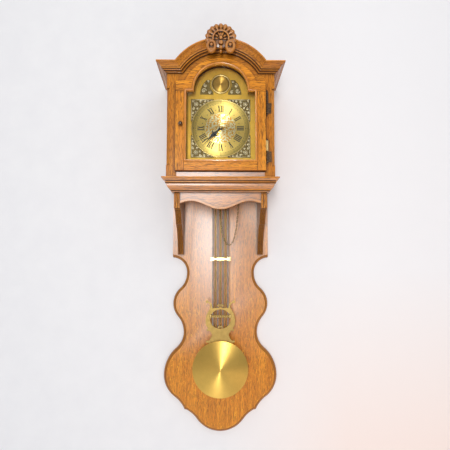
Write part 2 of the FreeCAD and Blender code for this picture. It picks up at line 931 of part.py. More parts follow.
def make_cornice_front(name, side):
    """A straight length beside the arch: mitred to the arch and to the return."""
    inner_x = leg(arch_inner, cornice_bottom - arch_centre)
    outer_x = leg(arch_outer, cornice_top - arch_centre)
    wall_x = hood_half
    end_x = wall_x + size.cornice_projection
    body = start_body(name)
    start_x = inner_x if side > 0 else -end_x
    sketch = start_sketch(body, "YZ_Plane", start_x)
    draw(sketch, section(CORNICE_SECTION_SHARES, size.cornice_projection, size.cornice_height,
                         hood_face, cornice_bottom, -1))
    pad(body, sketch, end_x - inner_x)
    arch_end = start_sketch(body, "XZ_Plane")
    draw(arch_end, [(inner_x * side, cornice_bottom), (outer_x * side, cornice_top),
                    (inner_x * side, cornice_top)])
    pocket_through(body, arch_end)
    corner = start_sketch(body, "XY_Plane")
    draw(corner, [(wall_x * side, hood_face), (end_x * side, hood_face),
                  (end_x * side, cornice_face)])
    pocket_through(body, corner)
    return body


def make_cornice_return(name, side):
    """A length along the side of the hood, back to the wall."""
    wall_x = hood_half * side
    end_x = (hood_half + size.cornice_projection) * side
    body = start_body(name)
    sketch = start_sketch(body, "XZ_Plane")
    draw(sketch, section(CORNICE_SECTION_SHARES, size.cornice_projection, size.cornice_height,
                         wall_x, cornice_bottom, side))
    pad(body, sketch, -cornice_face)
    corner = start_sketch(body, "XY_Plane")
    draw(corner, [(wall_x, hood_face), (wall_x, cornice_face), (end_x, cornice_face)])
    pocket_through(body, corner)
    return body


def make_cornice_arch():
    inner_x = leg(arch_inner, cornice_bottom - arch_centre)
    inner_z = cornice_bottom - arch_centre
    outer_x = leg(arch_outer, cornice_top - arch_centre)
    outer_z = cornice_top - arch_centre
    body = start_body("cornice_arch")
    sketch = start_sketch(body, "YZ_Plane")
    draw(sketch, section(CORNICE_SECTION_SHARES, size.cornice_projection,
                         size.arch_moulding_width, hood_face, arch_inner, -1))
    sweep = body.newObject("PartDesign::Revolution", "arch_sweep")
    sweep.Profile = sketch
    sweep.ReferenceAxis = (sketch, ["H_Axis"])
    sweep.Midplane = True
    sweep.Angle = ARCH_SWEEP_ANGLE
    ends = start_sketch(body, "XZ_Plane")
    far = arch_outer * 2
    near = inner_x - size.arch_moulding_width
    for side in (-1, 1):
        draw(ends, [(inner_x * side, inner_z), (outer_x * side, outer_z), (far * side, outer_z),
                    (far * side, ZERO), (near * side, ZERO)])
    pocket_through(body, ends)
    bind(body, "Placement.Base.z", arch_centre)
    keep(body, "cornice_arch")


def make_cornice():
    make_cornice_arch()
    fronts = [make_cornice_front("front_left", -1), make_cornice_front("front_right", 1)]
    keep(group("cornice_fronts", fronts), "cornice_fronts")
    returns = [make_cornice_return("return_left", -1), make_cornice_return("return_right", 1)]
    keep(group("cornice_returns", returns), "cornice_returns")


# Shelf that the hood stands on


def make_shelf():
    wall_x = shelf_half
    end_x = wall_x + size.shelf_projection
    front_y = hood_face - size.shelf_projection
    body = start_body("shelf_moulding_front")
    sketch = start_sketch(body, "YZ_Plane", -end_x)
    draw(sketch, section(SHELF_SECTION_SHARES, size.shelf_projection, size.shelf_height,
                         hood_face, shelf_bottom, -1, size.shelf_moulding_back))
    pad(body, sketch, end_x * 2)
    corners = start_sketch(body, "XY_Plane")
    back = size.shelf_moulding_back
    for side in (-1, 1):
        draw(corners, [((wall_x - back) * side, hood_face + back), (end_x * side, hood_face + back),
                       (end_x * side, front_y)])
    pocket_through(body, corners)
    keep(body, "shelf_moulding_front")
    returns = [
        make_shelf_return(name, side, wall_x * side, end_x * side, front_y)
        for name, side in (("shelf_left", -1), ("shelf_right", 1))
    ]
    keep(group("shelf_moulding_returns", returns), "shelf_moulding_returns")
    make_shelf_board()


def make_shelf_return(name, side, wall_x, end_x, front_y):
    back = size.shelf_moulding_back
    body = start_body(name)
    sketch = start_sketch(body, "XZ_Plane")
    draw(sketch, section(SHELF_SECTION_SHARES, size.shelf_projection, size.shelf_height,
                         wall_x, shelf_bottom, side, back))
    pad(body, sketch, board_face - front_y)
    bind(body, "Placement.Base.y", board_face)
    corner = start_sketch(body, "XY_Plane")
    inside = wall_x - back * side
    corner_y = hood_face + back - board_face
    draw(corner, [(inside, corner_y), (inside, front_y - board_face),
                  (end_x, front_y - board_face)])
    pocket_through(body, corner)
    return body


def make_shelf_board():
    """The floor of the hood, open at the back for the pendulum and the chain."""
    wide = shelf_half - size.shelf_moulding_back
    front = hood_face + size.shelf_moulding_back
    opening = (shelf_half - size.shelf_board_side)
    inner = front + size.shelf_opening_front
    outline = [
        (-wide, front), (wide, front), (wide, board_face), (opening, board_face),
        (opening, inner), (-opening, inner), (-opening, board_face), (-wide, board_face),
    ]
    body = panel("shelf_board", [outline], shelf_top - size.shelf_board_thickness,
                 size.shelf_board_thickness, "XY_Plane")
    keep(body, "shelf_board")


# Apron and brackets


def apron_edge(lift):
    """The waved lower edge, as a curve through points of a cosine."""
    points = []
    steps = 24
    for step in range(steps + 1):
        x = -float(apron_half) * (1 - 2 * step / steps)
        wave = math.cos(2 * math.pi * x / float(size.apron_wave_length))
        level = float(shelf_bottom - size.apron_middle_drop) - float(size.apron_wave) * wave
        points.append(Vector(x, 0, level + lift))
    curve = Part.BSplineCurve()
    curve.interpolate(points)
    return curve.toShape(), points[0], points[-1]


def between(lower, upper):
    """The face between two edges given with their ends."""
    sides = [
        Part.LineSegment(lower[1], upper[1]).toShape(),
        Part.LineSegment(lower[2], upper[2]).toShape(),
    ]
    return Part.Face(Part.Wire(Part.__sortEdges__([lower[0], sides[1], upper[0], sides[0]])))


def make_apron():
    top = float(shelf_top - size.shelf_board_thickness)
    wide = float(apron_half)
    lower = apron_edge(0)
    corners = (Vector(-wide, 0, top), Vector(wide, 0, top))
    upper = (Part.LineSegment(*corners).toShape(), *corners)
    front = float(hood_face + size.apron_set_back)
    thick = float(size.apron_thickness)
    board = between(lower, upper).extrude(Vector(0, thick, 0))
    bead = between(lower, apron_edge(float(size.apron_bead_width)))
    bead = bead.extrude(Vector(0, thick + float(size.apron_bead_proud), 0))
    bead.translate(Vector(0, -float(size.apron_bead_proud), 0))
    piece = shaped("apron_board", board.fuse(bead).removeSplitter())
    bind(piece, "Placement.Base.y", hood_face + size.apron_set_back)
    keep(piece, "apron_board")


def make_bracket(name, side):
    """A scrolled bracket between the shelf and the tail board."""
    top = shelf_bottom
    block_low = shelf_bottom - size.bracket_block_height
    step_low = block_low - size.bracket_step_height
    foot_low = step_low - size.bracket_foot_height
    block_y = hood_face + size.bracket_set_back
    step_y = board_face - size.bracket_step_depth
    foot_y = board_face - size.bracket_foot_depth
    outline = [
        (board_face, top), (block_y, top), (block_y, block_low),
        (block_y + size.bracket_ledge, block_low, size.bracket_step_hollow, -1),
        (step_y, step_low),
        (step_y + size.bracket_ledge, step_low, size.bracket_foot_hollow, -1),
        (foot_y, foot_low), (board_face, foot_low),
    ]
    start = apron_half if side > 0 else -(apron_half + size.bracket_width)
    solid = panel(f"{name}_board", [outline], start, size.bracket_width, "YZ_Plane")
    flutes = []
    middle = start + size.bracket_width / 2
    for index, spread in enumerate((-1, 1)):
        flute_x = middle + size.bracket_flute_spacing * spread / 2
        flutes.append(rod(f"{name}_flute_{index + 1}", size.bracket_flute_radius,
                          top - block_low, flute_x, block_y, block_low, "Z"))
    return cut(name, solid, group(f"{name}_flutes", flutes))


def make_brackets():
    sides = [make_bracket("bracket_left", -1), make_bracket("bracket_right", 1)]
    keep(group("brackets", sides), "brackets")


def make_crest():
    """Shell, two volutes and a husk, planted on the arched moulding."""
    bottom = cornice_top + size.crest_bottom_above_cornice
    top = bottom + size.crest_height
    shell_z = top - size.crest_lobe_radius - size.crest_shell_radius
    volute_z = bottom + size.crest_volute_radius
    front = cornice_face - size.crest_thickness
    shell_front = front + size.crest_shell_step
    lobe_front = front + size.crest_lobe_step
    pieces = [rod("crest_shell", size.crest_shell_radius, cornice_face - shell_front,
                  ZERO, shell_front, shell_z)]
    for index, angle in enumerate(CREST_LOBE_ANGLES):
        turn = math.radians(angle)
        pieces.append(rod(
            f"crest_lobe_{index + 1}", size.crest_lobe_radius, cornice_face - lobe_front,
            size.crest_shell_radius * math.sin(turn), lobe_front,
            shell_z + size.crest_shell_radius * math.cos(turn)))
    for side in (-1, 1):
        pieces.append(rod(
            f"crest_volute_{side + 2}", size.crest_volute_radius, size.crest_thickness,
            size.crest_volute_spread * side, front, volute_z))
        pieces.append(rod(
            f"crest_scroll_{side + 2}", size.crest_scroll_radius, size.crest_thickness,
            size.crest_scroll_spread * side, front, volute_z + size.crest_scroll_above_volute))
    husk = [
        (-size.crest_husk_half_width, shell_z), (ZERO, bottom),
        (size.crest_husk_half_width, shell_z),
    ]
    pieces.append(panel("crest_husk", [husk], cornice_face, size.crest_thickness))
    keep(joined("crest_carving", pieces), "crest_carving")


# Door


def sight_outline(grow):
    """The glazed opening of the door, made larger all round."""
    radius = sight_arch_radius + grow
    shoulder = sight_shoulder + grow
    foot = leg(radius, shoulder - mask_arch_centre)
    half = [
        (sight_half + grow, shoulder),
        (sight_half + grow, sight_bottom - grow),
    ]
    right = [(foot, shoulder), half[0], half[1]]
    left = [(-x, z) for x, z in reversed(right)]
    left[-1] = left[-1] + (radius, -1)
    return right + left


def make_door():
    opening = sight_half + size.sight_moulding_width
    sill = sight_bottom - size.sight_moulding_width
    bottom = shelf_top + size.door_bottom_above_shelf
    joint = sight_shoulder
    edge = door_half
    depth = (door_face, door_back)
    stiles = [
        block("door_stile_left", (-edge, -opening), depth, (bottom, joint)),
        block("door_stile_right", (opening, edge), depth, (bottom, joint)),
    ]
    keep(group("door_stiles", stiles), "door_stiles")
    keep(block("door_bottom_rail", (-opening, opening), depth, (bottom, sill)),
         "door_bottom_rail")
    make_door_arch(opening, joint)
    moulding = panel(
        "sight_moulding", [sight_outline(size.sight_moulding_width), sight_outline(ZERO)],
        door_face + size.sight_moulding_depth,
        size.sight_moulding_depth + size.sight_moulding_proud)
    keep(moulding, "door_sight_moulding")
    glass = panel("glass", [sight_outline(size.sight_moulding_width - size.glass_edge_gap)],
                  door_face + size.sight_moulding_depth + size.glass_thickness,
                  size.glass_thickness)
    keep(glass, "door_glass")
    make_knob()
    make_hinges()


def make_door_arch(opening, joint):
    """The head of the door, cut to an arch over the glass."""
    shoulder = sight_shoulder + size.door_head_rise
    outer_foot = leg(door_arch_radius, shoulder - door_arch_centre)
    ledge = joint + size.sight_moulding_width
    radius = sight_arch_radius + size.sight_moulding_width
    inner_foot = leg(radius, ledge - mask_arch_centre)
    half = [
        (outer_foot, shoulder), (door_half, shoulder), (door_half, joint),
        (opening, joint), (opening, ledge), (inner_foot, ledge, radius, 1),
    ]
    outline = mirrored(half, (door_arch_radius, -1))
    keep(panel("door_head", [outline], door_back, size.door_thickness), "door_arch_rail")


def make_knob():
    """A turned knob on the left stile."""
    ball = size.knob_radius
    neck = size.knob_neck_radius
    reach = leg(ball, neck)
    centre = -size.knob_length + ball
    section_corners = [
        (ZERO, ZERO), (size.knob_base_radius, ZERO),
        (size.knob_base_radius, -size.knob_base_thickness), (neck, -size.knob_base_thickness),
        (neck, centre + reach, ball, -1), (ZERO, -size.knob_length),
    ]
    knob = turned("knob", section_corners, "Y", size.knob_from_edge - door_half,
                  door_face, dial_centre)
    keep(knob, "door_knob")


def make_hinges():
    """Two lift hinges: the upper leaf on the door's edge, the lower leaf on the hood."""
    axis_x = door_half + size.hinge_from_door
    levels = (dial_centre + size.hinge_upper_above_dial, dial_centre - size.hinge_lower_below_dial)
    half = size.hinge_half_length
    gap = size.hinge_gap
    pin = size.hinge_pin_radius
    barrel = size.hinge_radius
    finial = size.hinge_finial_radius
    tip = half + gap + finial * 2
    case_section = [
        (ZERO, -half - finial * 2), (finial, -half - finial * 2), (finial, -half),
        (barrel, -half), (barrel, ZERO), (pin, ZERO), (pin, half + gap),
        (finial, half + gap), (finial, tip), (ZERO, tip),
    ]
    bore = pin + size.hinge_pin_clearance
    door_section = [(bore, gap), (barrel, gap), (barrel, half), (bore, half)]
    case_leaves, door_leaves = [], []
    for index, level in enumerate(levels):
        axis_y = hood_face - size.door_gap - barrel
        case_barrel = turned(f"case_barrel_{index + 1}", case_section, "Z", axis_x, axis_y, level)
        case_leaf = block(
            f"case_leaf_{index + 1}",
            (axis_x + pin, axis_x + size.hinge_leaf_width),
            (hood_face - size.hinge_leaf_thickness, hood_face), (level - half, level))
        case_leaves.append(joined(f"case_hinge_{index + 1}", [case_barrel, case_leaf]))
        door_barrel = turned(f"door_barrel_{index + 1}", door_section, "Z", axis_x, axis_y, level)
        door_leaf = block(
            f"door_leaf_{index + 1}",
            (door_half, door_half + size.hinge_leaf_thickness),
            (door_face + size.hinge_leaf_thickness, axis_y), (level + gap, level + half))
        door_leaves.append(joined(f"door_hinge_{index + 1}", [door_barrel, door_leaf]))
    keep(group("hinges_case", case_leaves), "hinge_case_leaves")
    keep(group("hinges_door", door_leaves), "hinge_door_leaves")


# Dial


def make_dial():
    shoulder = size.dial_shoulder_above_centre
    arch_z = size.dial_arch_top - size.dial_arch_radius
    foot = leg(size.dial_arch_radius, shoulder - arch_z)
    half = [(foot, shoulder), (size.dial_half_width, shoulder),
            (size.dial_half_width, -size.dial_half_width)]
    left = [(-x, z) for x, z in reversed(half)]
    left[-1] = left[-1] + (size.dial_arch_radius, -1)
    plate = panel("plate", [half + left], dial_back, size.dial_thickness,
                  circles=[(ZERO, ZERO, size.dial_hole_radius)])
    bind(plate, "Placement.Base.z", dial_centre)
    keep(plate, "dial_plate")
    chapter = panel("chapters", [], dial_front, size.chapter_thickness,
                    circles=[(ZERO, ZERO, chapter_outer), (ZERO, ZERO, chapter_inner)])
    bind(chapter, "Placement.Base.z", dial_centre)
    keep(chapter, "chapter_ring")
    centre = panel("centre_disc", [], dial_front, size.centre_disc_thickness,
                   circles=[(ZERO, ZERO, chapter_inner - size.centre_disc_gap),
                            (ZERO, ZERO, size.dial_hole_radius)])
    bind(centre, "Placement.Base.z", dial_centre)
    keep(centre, "dial_centre_disc")
    make_boss()
    make_spandrels()
    spots = [(size.dial_foot_spread * side, level) for side in (-1, 1)
             for level in (size.dial_foot_high, -size.dial_foot_low)]
    feet = [
        rod(f"dial_foot_{index + 1}", size.dial_foot_radius, size.dial_foot_length,
            x, dial_back, dial_centre + z)
        for index, (x, z) in enumerate(spots)
    ]
    keep(group("dial_feet", feet), "dial_feet")


def make_boss():
    """The raised round plate in the arch of the dial."""
    rim = size.boss_thickness
    dish = size.boss_dish
    ramp = size.boss_disc_radius - (rim - dish)
    corners = [
        (ZERO, ZERO), (size.boss_radius, ZERO), (size.boss_radius, -rim),
        (size.boss_disc_radius, -rim), (ramp, -dish), (ZERO, -dish),
    ]
    boss = turned("boss", corners, "Y", ZERO, dial_front, dial_centre + size.boss_above_centre)
    keep(boss, "dial_boss")


def make_spandrels():
    """Cast corner ornaments around the chapter ring and two in the arch."""
    outer = chapter_outer + size.spandrel_beyond_chapter
    near = outer - size.spandrel_reach
    radius = chapter_outer + size.spandrel_gap
    swing = leg(radius, near)
    ornaments = []
    for side in (-1, 1):
        for level in (-1, 1):
            bend = -side * level
            corner = [
                (outer * side, outer * level), (near * side, outer * level),
                (near * side, swing * level, radius, bend), (swing * side, near * level),
                (outer * side, near * level),
            ]
            ornaments.append(panel(f"spandrel_{side + 2}_{level + 2}", [corner], dial_front,
                                   size.spandrel_thickness))
        arch_z = size.dial_arch_top - size.dial_arch_radius
        unit = size.dial_arch_radius
        arch = [
            (unit * across * side, arch_z + unit * up, unit * reach, bend * side)
            for across, up, reach, bend in ARCH_SPANDREL_SHARES
        ]
        ornaments.append(panel(f"arch_spandrel_{side + 2}", [arch], dial_front,
                               size.spandrel_thickness))
    for ornament in ornaments:
        bind(ornament, "Placement.Base.z", dial_centre)
    keep(group("spandrels", ornaments), "dial_spandrels")


# Solids worked out in code: all lie along Y, in front of a place called back


def polar(radius, angle, y=0.0):
    """A point at a clockwise angle from straight up."""
    return Vector(radius * math.sin(angle), y, radius * math.cos(angle))


def bar(radius, front, back, x=0.0, z=0.0):
    """A cylinder along Y between two places."""
    low, high = float(front), float(back)
    return Part.makeCylinder(float(radius), high - low, Vector(x, low, z), Vector(0, 1, 0))


def fused(pieces):
    return pieces[0].fuse(pieces[1:]).removeSplitter()


def smooth_edge(points):
    curve = Part.BSplineCurve()
    curve.interpolate(points)
    return curve.toShape()


def line_edge(start, end):
    return Part.LineSegment(start, end).toShape()


def toothed(teeth, tooth_size, shares, front, back, phase):
    """A toothed disc with a tooth centred at the phase angle."""
    radius = teeth * tooth_size / 2
    pitch = 2 * math.pi / teeth
    spots = [
        polar(radius + tooth_size * reach, phase + (tooth + place) * pitch, front)
        for tooth in range(teeth) for reach, place in shares
    ]
    face = Part.Face(Part.makePolygon(spots + spots[:1]))
    return face.extrude(Vector(0, back - front, 0))


def wheel(teeth, tooth_size, middle, phase, spoke_phase=0.0):
    """A crossed-out wheel of four spokes."""
    half = float(size.wheel_thickness) / 2
    front, back = middle - half, middle + half
    disc = toothed(teeth, tooth_size, WHEEL_TOOTH_SHARES, front, back, phase)
    reach = tooth_size * (teeth / 2 + WHEEL_TOOTH_SHARES[0][0]) - float(size.wheel_rim)
    return crossed(disc, reach, front, back, spoke_phase)


def crossed(disc, reach, front, back, spoke_phase):
    """Cuts the windows of a disc and leaves four spokes and a hub."""
    width = float(size.wheel_spoke_width)
    lap = float(size.wheel_rim) / 2
    pieces = [disc.cut(bar(reach, front, back)), bar(size.wheel_hub_radius, front, back)]
    for turn in (0, 90):
        spoke = Part.makeBox(width, back - front, 2 * (reach + lap),
                             Vector(-width / 2, front, -reach - lap))
        spoke.rotate(Vector(), Vector(0, 1, 0), turn + math.degrees(spoke_phase))
        pieces.append(spoke)
    return fused(pieces)


def lantern(tooth_size, middle, gap_angle):
    """A lantern pinion: pins between two caps, with a gap at the given angle."""
    leaves = int(size.pinion_leaves.value)
    radius = leaves * tooth_size / 2
    pin = tooth_size * PIN_RADIUS_SHARE
    half = float(size.pinion_length) / 2
    cap = float(size.pinion_cap)
    rim = radius + pin + tooth_size * PINION_CAP_SHARE
    pieces = [bar(rim, middle - half, middle - half + cap),
              bar(rim, middle + half - cap, middle + half)]
    for leaf in range(leaves):
        spot = polar(radius, gap_angle + (leaf + 0.5) * 2 * math.pi / leaves)
        pieces.append(bar(pin, middle - half, middle + half, spot.x, spot.z))
    return pieces


def arbor(front_end, back_end):
    """The shaft between the plates with its two pivots."""
    shake = float(size.arbor_shake)
    gap = float(size.plate_gap)
    return [bar(size.arbor_radius, shake, gap - shake), bar(size.pivot_radius, front_end, back_end)]


def facing(start, end):
    """The clockwise angle from straight up of the way from one arbor to another."""
    return math.atan2(float(end[0]) - float(start[0]), float(end[1]) - float(start[1]))


# Arbor places in the movement, from the dial centre
great_spot = (size.great_offset, -size.great_drop)
centre_spot = (ZERO, ZERO)
third_distance = size.centre_tooth_size * (size.centre_teeth + size.pinion_leaves) / 2
third_spot = (-size.third_offset, leg(third_distance, size.third_offset))
escape_distance = size.third_tooth_size * (size.third_teeth + size.pinion_leaves) / 2
escape_spot = (ZERO, third_spot[1] + leg(escape_distance, size.third_offset))
pallet_spot = (ZERO, escape_spot[1] + size.pallet_above_escape)
plate_front = dial_back + size.dial_foot_length
train_front = plate_front + size.plate_thickness
plate_back = train_front + size.plate_gap + size.plate_thickness
chain_y = train_front + size.chain_layer
swing_axis = dial_centre + pallet_spot[1]
pendulum_y = plate_back + size.pendulum_behind_plates


def place_arbor(name, shape, spot):
    """Puts a rotating piece on its arbor, with Y counted from inside the front plate."""
    piece = shaped(name, shape)
    move_to(piece, spot[0], train_front, dial_centre + spot[1])
    keep(piece, name)


def make_plates():
    wide = size.plate_half_width
    outline = box_corners(-wide, wide, -size.plate_below_dial, size.plate_above_dial)
    hole = size.pivot_radius + size.pivot_clearance
    spots = [great_spot, (-great_spot[0], great_spot[1]), centre_spot, third_spot, escape_spot,
             pallet_spot]
    holes = [(x, z, hole) for x, z in spots]
    for name, back in (("front_plate", train_front), ("back_plate", plate_back)):
        plate = panel(f"{name}_sheet", [outline], back, size.plate_thickness, circles=holes)
        bind(plate, "Placement.Base.z", dial_centre)
        if name == "front_plate":
            stud = rod("motion_stud", size.stud_radius, size.stud_length + size.stud_root, ZERO,
                       plate_front - size.stud_length, dial_centre - motion_distance)
            plate = joined("front_plate_with_stud", [plate, stud])
        keep(plate, name)
    inset = size.pillar_inset
    spots = [(wide - inset, size.plate_above_dial - inset),
             (wide - size.pillar_low_inset, size.pillar_low_rise - size.plate_below_dial)]
    pillars = [
        rod(f"pillar_{index + 1}_{side + 2}", size.pillar_radius, size.plate_gap,
            spot[0] * side, train_front, dial_centre + spot[1])
        for index, spot in enumerate(spots) for side in (-1, 1)
    ]
    keep(group("pillars", pillars), "movement_pillars")


def make_seat():
    """The board that carries the movement, slotted for the chain, on two bearers."""
    wide = hood_half - size.hood_side_thickness
    front = plate_front - size.seat_before_plates
    back = plate_back + size.seat_behind_plates
    top = dial_centre - size.plate_below_dial
    under = top - size.seat_thickness
    slots = [
        box_corners(inner, outer, chain_y - size.seat_slot_half_width,
                    chain_y + size.seat_slot_half_width)
        for inner, outer in ((size.seat_slot_inner, size.seat_slot_outer),
                             (-size.seat_slot_outer, -size.seat_slot_inner))
    ]
    board = panel("seat", [box_corners(-wide, wide, front, back)] + slots, under,
                  size.seat_thickness, "XY_Plane")
    keep(board, "seat_board")
    height = (under - size.seat_bearer_height, under)
    bearers = [
        block("bearer_left", (-wide, size.seat_bearer_width - wide), (front, back), height),
        block("bearer_right", (wide - size.seat_bearer_width, wide), (front, back), height),
    ]
    keep(group("bearers", bearers), "seat_bearers")


def chain_wheel(middle):
    """A grooved wheel between two flanges for the chain."""
    half = float(size.chain_link_width) / 2 + float(size.chain_seat_gap)
    flange = float(size.sprocket_flange)
    groove = float(size.sprocket_radius - size.sprocket_groove_depth)
    rim = float(size.sprocket_radius + size.sprocket_flange_rise)
    return [bar(groove, middle - half, middle + half),
            bar(rim, middle - half - flange, middle - half),
            bar(rim, middle + half, middle + half + flange)]


def make_train():
    teeth = {name: int(getattr(size, f"{name}_teeth").value)
             for name in ("great", "centre", "third", "escape")}
    great_size, centre_size, third_size = (
        float(size.great_tooth_size), float(size.centre_tooth_size), float(size.third_tooth_size))
    layers = {name: float(getattr(size, f"{name}_layer"))
              for name in ("great", "centre", "third", "escape", "strike")}
    behind = float(size.plate_gap + size.plate_thickness)
    before = -float(size.plate_thickness)
    chain_layer = float(size.chain_layer)

    going = wheel(teeth["great"], great_size, layers["great"], facing(great_spot, centre_spot))
    place_arbor("going_wheel", fused([going] + chain_wheel(chain_layer) + arbor(before, behind)),
                great_spot)
    strike = wheel(teeth["great"], great_size, layers["strike"], 0.0)
    place_arbor("strike_wheel", fused([strike] + chain_wheel(chain_layer) + arbor(before, behind)),
                (-great_spot[0], great_spot[1]))

    hand_end = float(plate_front - size.hand_arbor_length) - float(train_front)
    middle = wheel(teeth["centre"], centre_size, layers["centre"],
                   facing(centre_spot, third_spot))
    pins = lantern(great_size, layers["great"], facing(centre_spot, great_spot))
    place_arbor("centre_wheel", fused([middle] + pins + arbor(hand_end, behind)), centre_spot)

    middle = wheel(teeth["third"], third_size, layers["third"], facing(third_spot, escape_spot))
    pins = lantern(centre_size, layers["centre"], facing(third_spot, centre_spot))
    place_arbor("third_wheel", fused([middle] + pins + arbor(before, behind)), third_spot)

    pins = lantern(third_size, layers["third"], facing(escape_spot, third_spot))
    toothed_wheel = escape_disc(teeth["escape"], layers["escape"])
    place_arbor("escape_wheel", fused([toothed_wheel] + pins + arbor(before, behind)),
                escape_spot)
    make_anchor(layers["escape"], before)


def escape_disc(teeth, middle):
    """Pointed teeth, one of them straight up."""
    half = float(size.wheel_thickness) / 2
    tip = float(size.escape_radius)
    base = tip - float(size.escape_tooth_depth)
    pitch = 2 * math.pi / teeth
    point = float(size.escape_tooth_width) / tip / 2
    spots = []
    for tooth in range(teeth):
        angle = tooth * pitch
        for radius, turn in ((base, -ESCAPE_BACK_SHARE * pitch), (tip, -point), (tip, point),
                             (base, ESCAPE_FRONT_SHARE * pitch)):
            spots.append(polar(radius, angle + turn, middle - half))
    face = Part.Face(Part.makePolygon(spots + spots[:1]))
    disc = face.extrude(Vector(0, 2 * half, 0))
    reach = base - float(size.wheel_rim)
    return crossed(disc, reach, middle - half, middle + half, 0.0)


def make_anchor(layer, before):
    """The anchor with its pallets, its arbor and the crutch behind the back plate."""
    half = float(size.wheel_thickness) / 2
    down = -float(size.pallet_above_escape)
    inner = float(size.escape_radius + size.anchor_gap)
    outer = inner + float(size.anchor_width)
    spread = math.radians(ANCHOR_ANGLE)
    centre = Vector(0, layer - half, down)
    ends = [centre + polar(radius, side * spread) for radius, side in
            ((inner, -1), (inner, 1), (outer, 1), (outer, -1))]
    inner_arc = Part.Arc(ends[0], centre + polar(inner, 0.0), ends[1]).toShape()
    outer_arc = Part.Arc(ends[2], centre + polar(outer, 0.0), ends[3]).toShape()
    wire = Part.Wire([inner_arc, line_edge(ends[1], ends[2]), outer_arc,
                      line_edge(ends[3], ends[0])])
    pieces = [Part.Face(wire).extrude(Vector(0, 2 * half, 0))]
    width = float(size.pallet_width)
    low = float(size.escape_radius + size.pallet_clearance)
    for side in (-1, 1):
        nib = Part.makeBox(width, 2 * half, outer - low, Vector(-width / 2, layer - half, low))
        nib.rotate(Vector(), Vector(0, 1, 0), side * PALLET_ANGLE)
        nib.translate(Vector(0, 0, down))
        pieces.append(nib)
    rear = float(size.plate_gap + size.plate_thickness + size.crutch_behind_plate)
    thick = float(size.crutch_thickness)
    pieces += arbor(before, rear + thick)
    pieces.append(bar(size.anchor_hub_radius, layer - half, layer + half))
    pieces.append(bar(size.crutch_hub_radius, rear, rear + thick))
    crutch_width = float(size.crutch_width)
    drop = float(size.crutch_length)
    pieces.append(Part.makeBox(crutch_width, thick, drop, Vector(-crutch_width / 2, rear, -drop)))
    fork = float(size.leader_radius + size.crutch_fork_gap + size.crutch_fork_radius)
    reach = float(pendulum_y - train_front) + fork
    pad_width = 2 * (fork + float(size.crutch_fork_radius))
    pieces.append(Part.makeBox(pad_width, thick, crutch_width,
                               Vector(-pad_width / 2, rear, -drop)))
    for side in (-1, 1):
        pieces.append(bar(size.crutch_fork_radius, rear, reach, side * fork,
                          crutch_width / 2 - drop))
    place_arbor("anchor", fused(pieces), pallet_spot)


# Motion work and hands

motion_distance = size.minute_tooth_size * (size.cannon_teeth + size.minute_wheel_teeth) / 2
first_front = plate_front - size.motion_front_gap - size.motion_thickness
second_front = first_front - size.motion_step
minute_hand_front = dial_front - size.minute_hand_front
minute_hand_back = minute_hand_front + size.hand_thickness
hour_hand_front = dial_front - size.hour_hand_front
hour_hand_back = hour_hand_front + size.hand_thickness


def make_motion_work():
    """Cannon pinion, minute wheel and hour wheel in front of the front plate."""
    thick = float(size.motion_thickness)
    bore = float(size.pivot_radius + size.pivot_clearance)
    pipe = float(size.cannon_radius)
    minute_size, hour_size = float(size.minute_tooth_size), float(size.hour_tooth_size)
    level = float(first_front)
    upper = float(second_front)
    counts = [int(getattr(size, name).value) for name in
              ("cannon_teeth", "minute_wheel_teeth", "minute_pinion_teeth", "hour_wheel_teeth")]

    cannon = toothed(counts[0], minute_size, LEAF_TOOTH_SHARES, level, level + thick, math.pi)
    cannon = fused([cannon, bar(pipe, minute_hand_back, level + thick)])
    cannon = cannon.cut(bar(bore, minute_hand_front, train_front))
    place_piece("cannon_pinion", cannon, ZERO)

    gap = math.pi / counts[1]
    minute = toothed(counts[1], minute_size, WHEEL_TOOTH_SHARES, level, level + thick, gap)
    pinion = toothed(counts[2], hour_size, LEAF_TOOTH_SHARES, upper, upper + thick, 0.0)
    stem = bar(size.stud_radius + size.hour_pipe_thickness, upper, level + thick)
    minute = fused([minute, pinion, stem])
    minute = minute.cut(bar(size.stud_radius + size.pivot_clearance, minute_hand_front,
                            train_front))
    place_piece("minute_wheel", minute, -motion_distance)

    gap = math.pi + math.pi / counts[3]
    tube = float(size.cannon_radius + size.cannon_bore_clearance)
    hour = toothed(counts[3], hour_size, WHEEL_TOOTH_SHARES, upper, upper + thick, gap)
    hour = fused([hour, bar(tube + float(size.hour_pipe_thickness),
                            hour_hand_front - size.hour_pipe_proud, upper + thick)])
    hour = hour.cut(bar(tube, minute_hand_front, train_front))
    place_piece("hour_wheel", hour, ZERO)


def place_piece(name, shape, rise):
    """Keeps a turning piece whose Y is already measured from the wall."""
    piece = shaped(name, shape)
    move_to(piece, ZERO, ZERO, dial_centre + rise)
    keep(piece, name)


def make_hand(name, curves, length, wing, front, bore, angle):
    """A pierced-looking hand with two wings, built pointing up and then turned to its place."""
    sides = {}
    for side in (1, -1):
        sides[side] = [
            [Vector(side * float(wing) * width, float(front), float(length) * along)
             for along, width in curve]
            for curve in curves
        ]
    edges = [line_edge(sides[1][0][0], sides[-1][0][0]),
             line_edge(sides[1][-1][-1], sides[-1][-1][-1])]
    for curve in sides[1] + sides[-1]:
        edges.append(line_edge(*curve) if len(curve) == 2 else smooth_edge(curve))
    wire = Part.Wire(Part.__sortEdges__(edges))
    blade = Part.Face(wire).extrude(Vector(0, float(size.hand_thickness), 0))
    back = front + size.hand_thickness
    hand = fused([bar(size.hand_hub_radius, front, back), blade]).cut(bar(bore, front, back))
    piece = shaped(name, hand)
    piece.Placement = FreeCAD.Placement(Vector(), FreeCAD.Rotation(Vector(0, 1, 0), angle))
    move_to(piece, ZERO, ZERO, dial_centre)
    keep(piece, name)


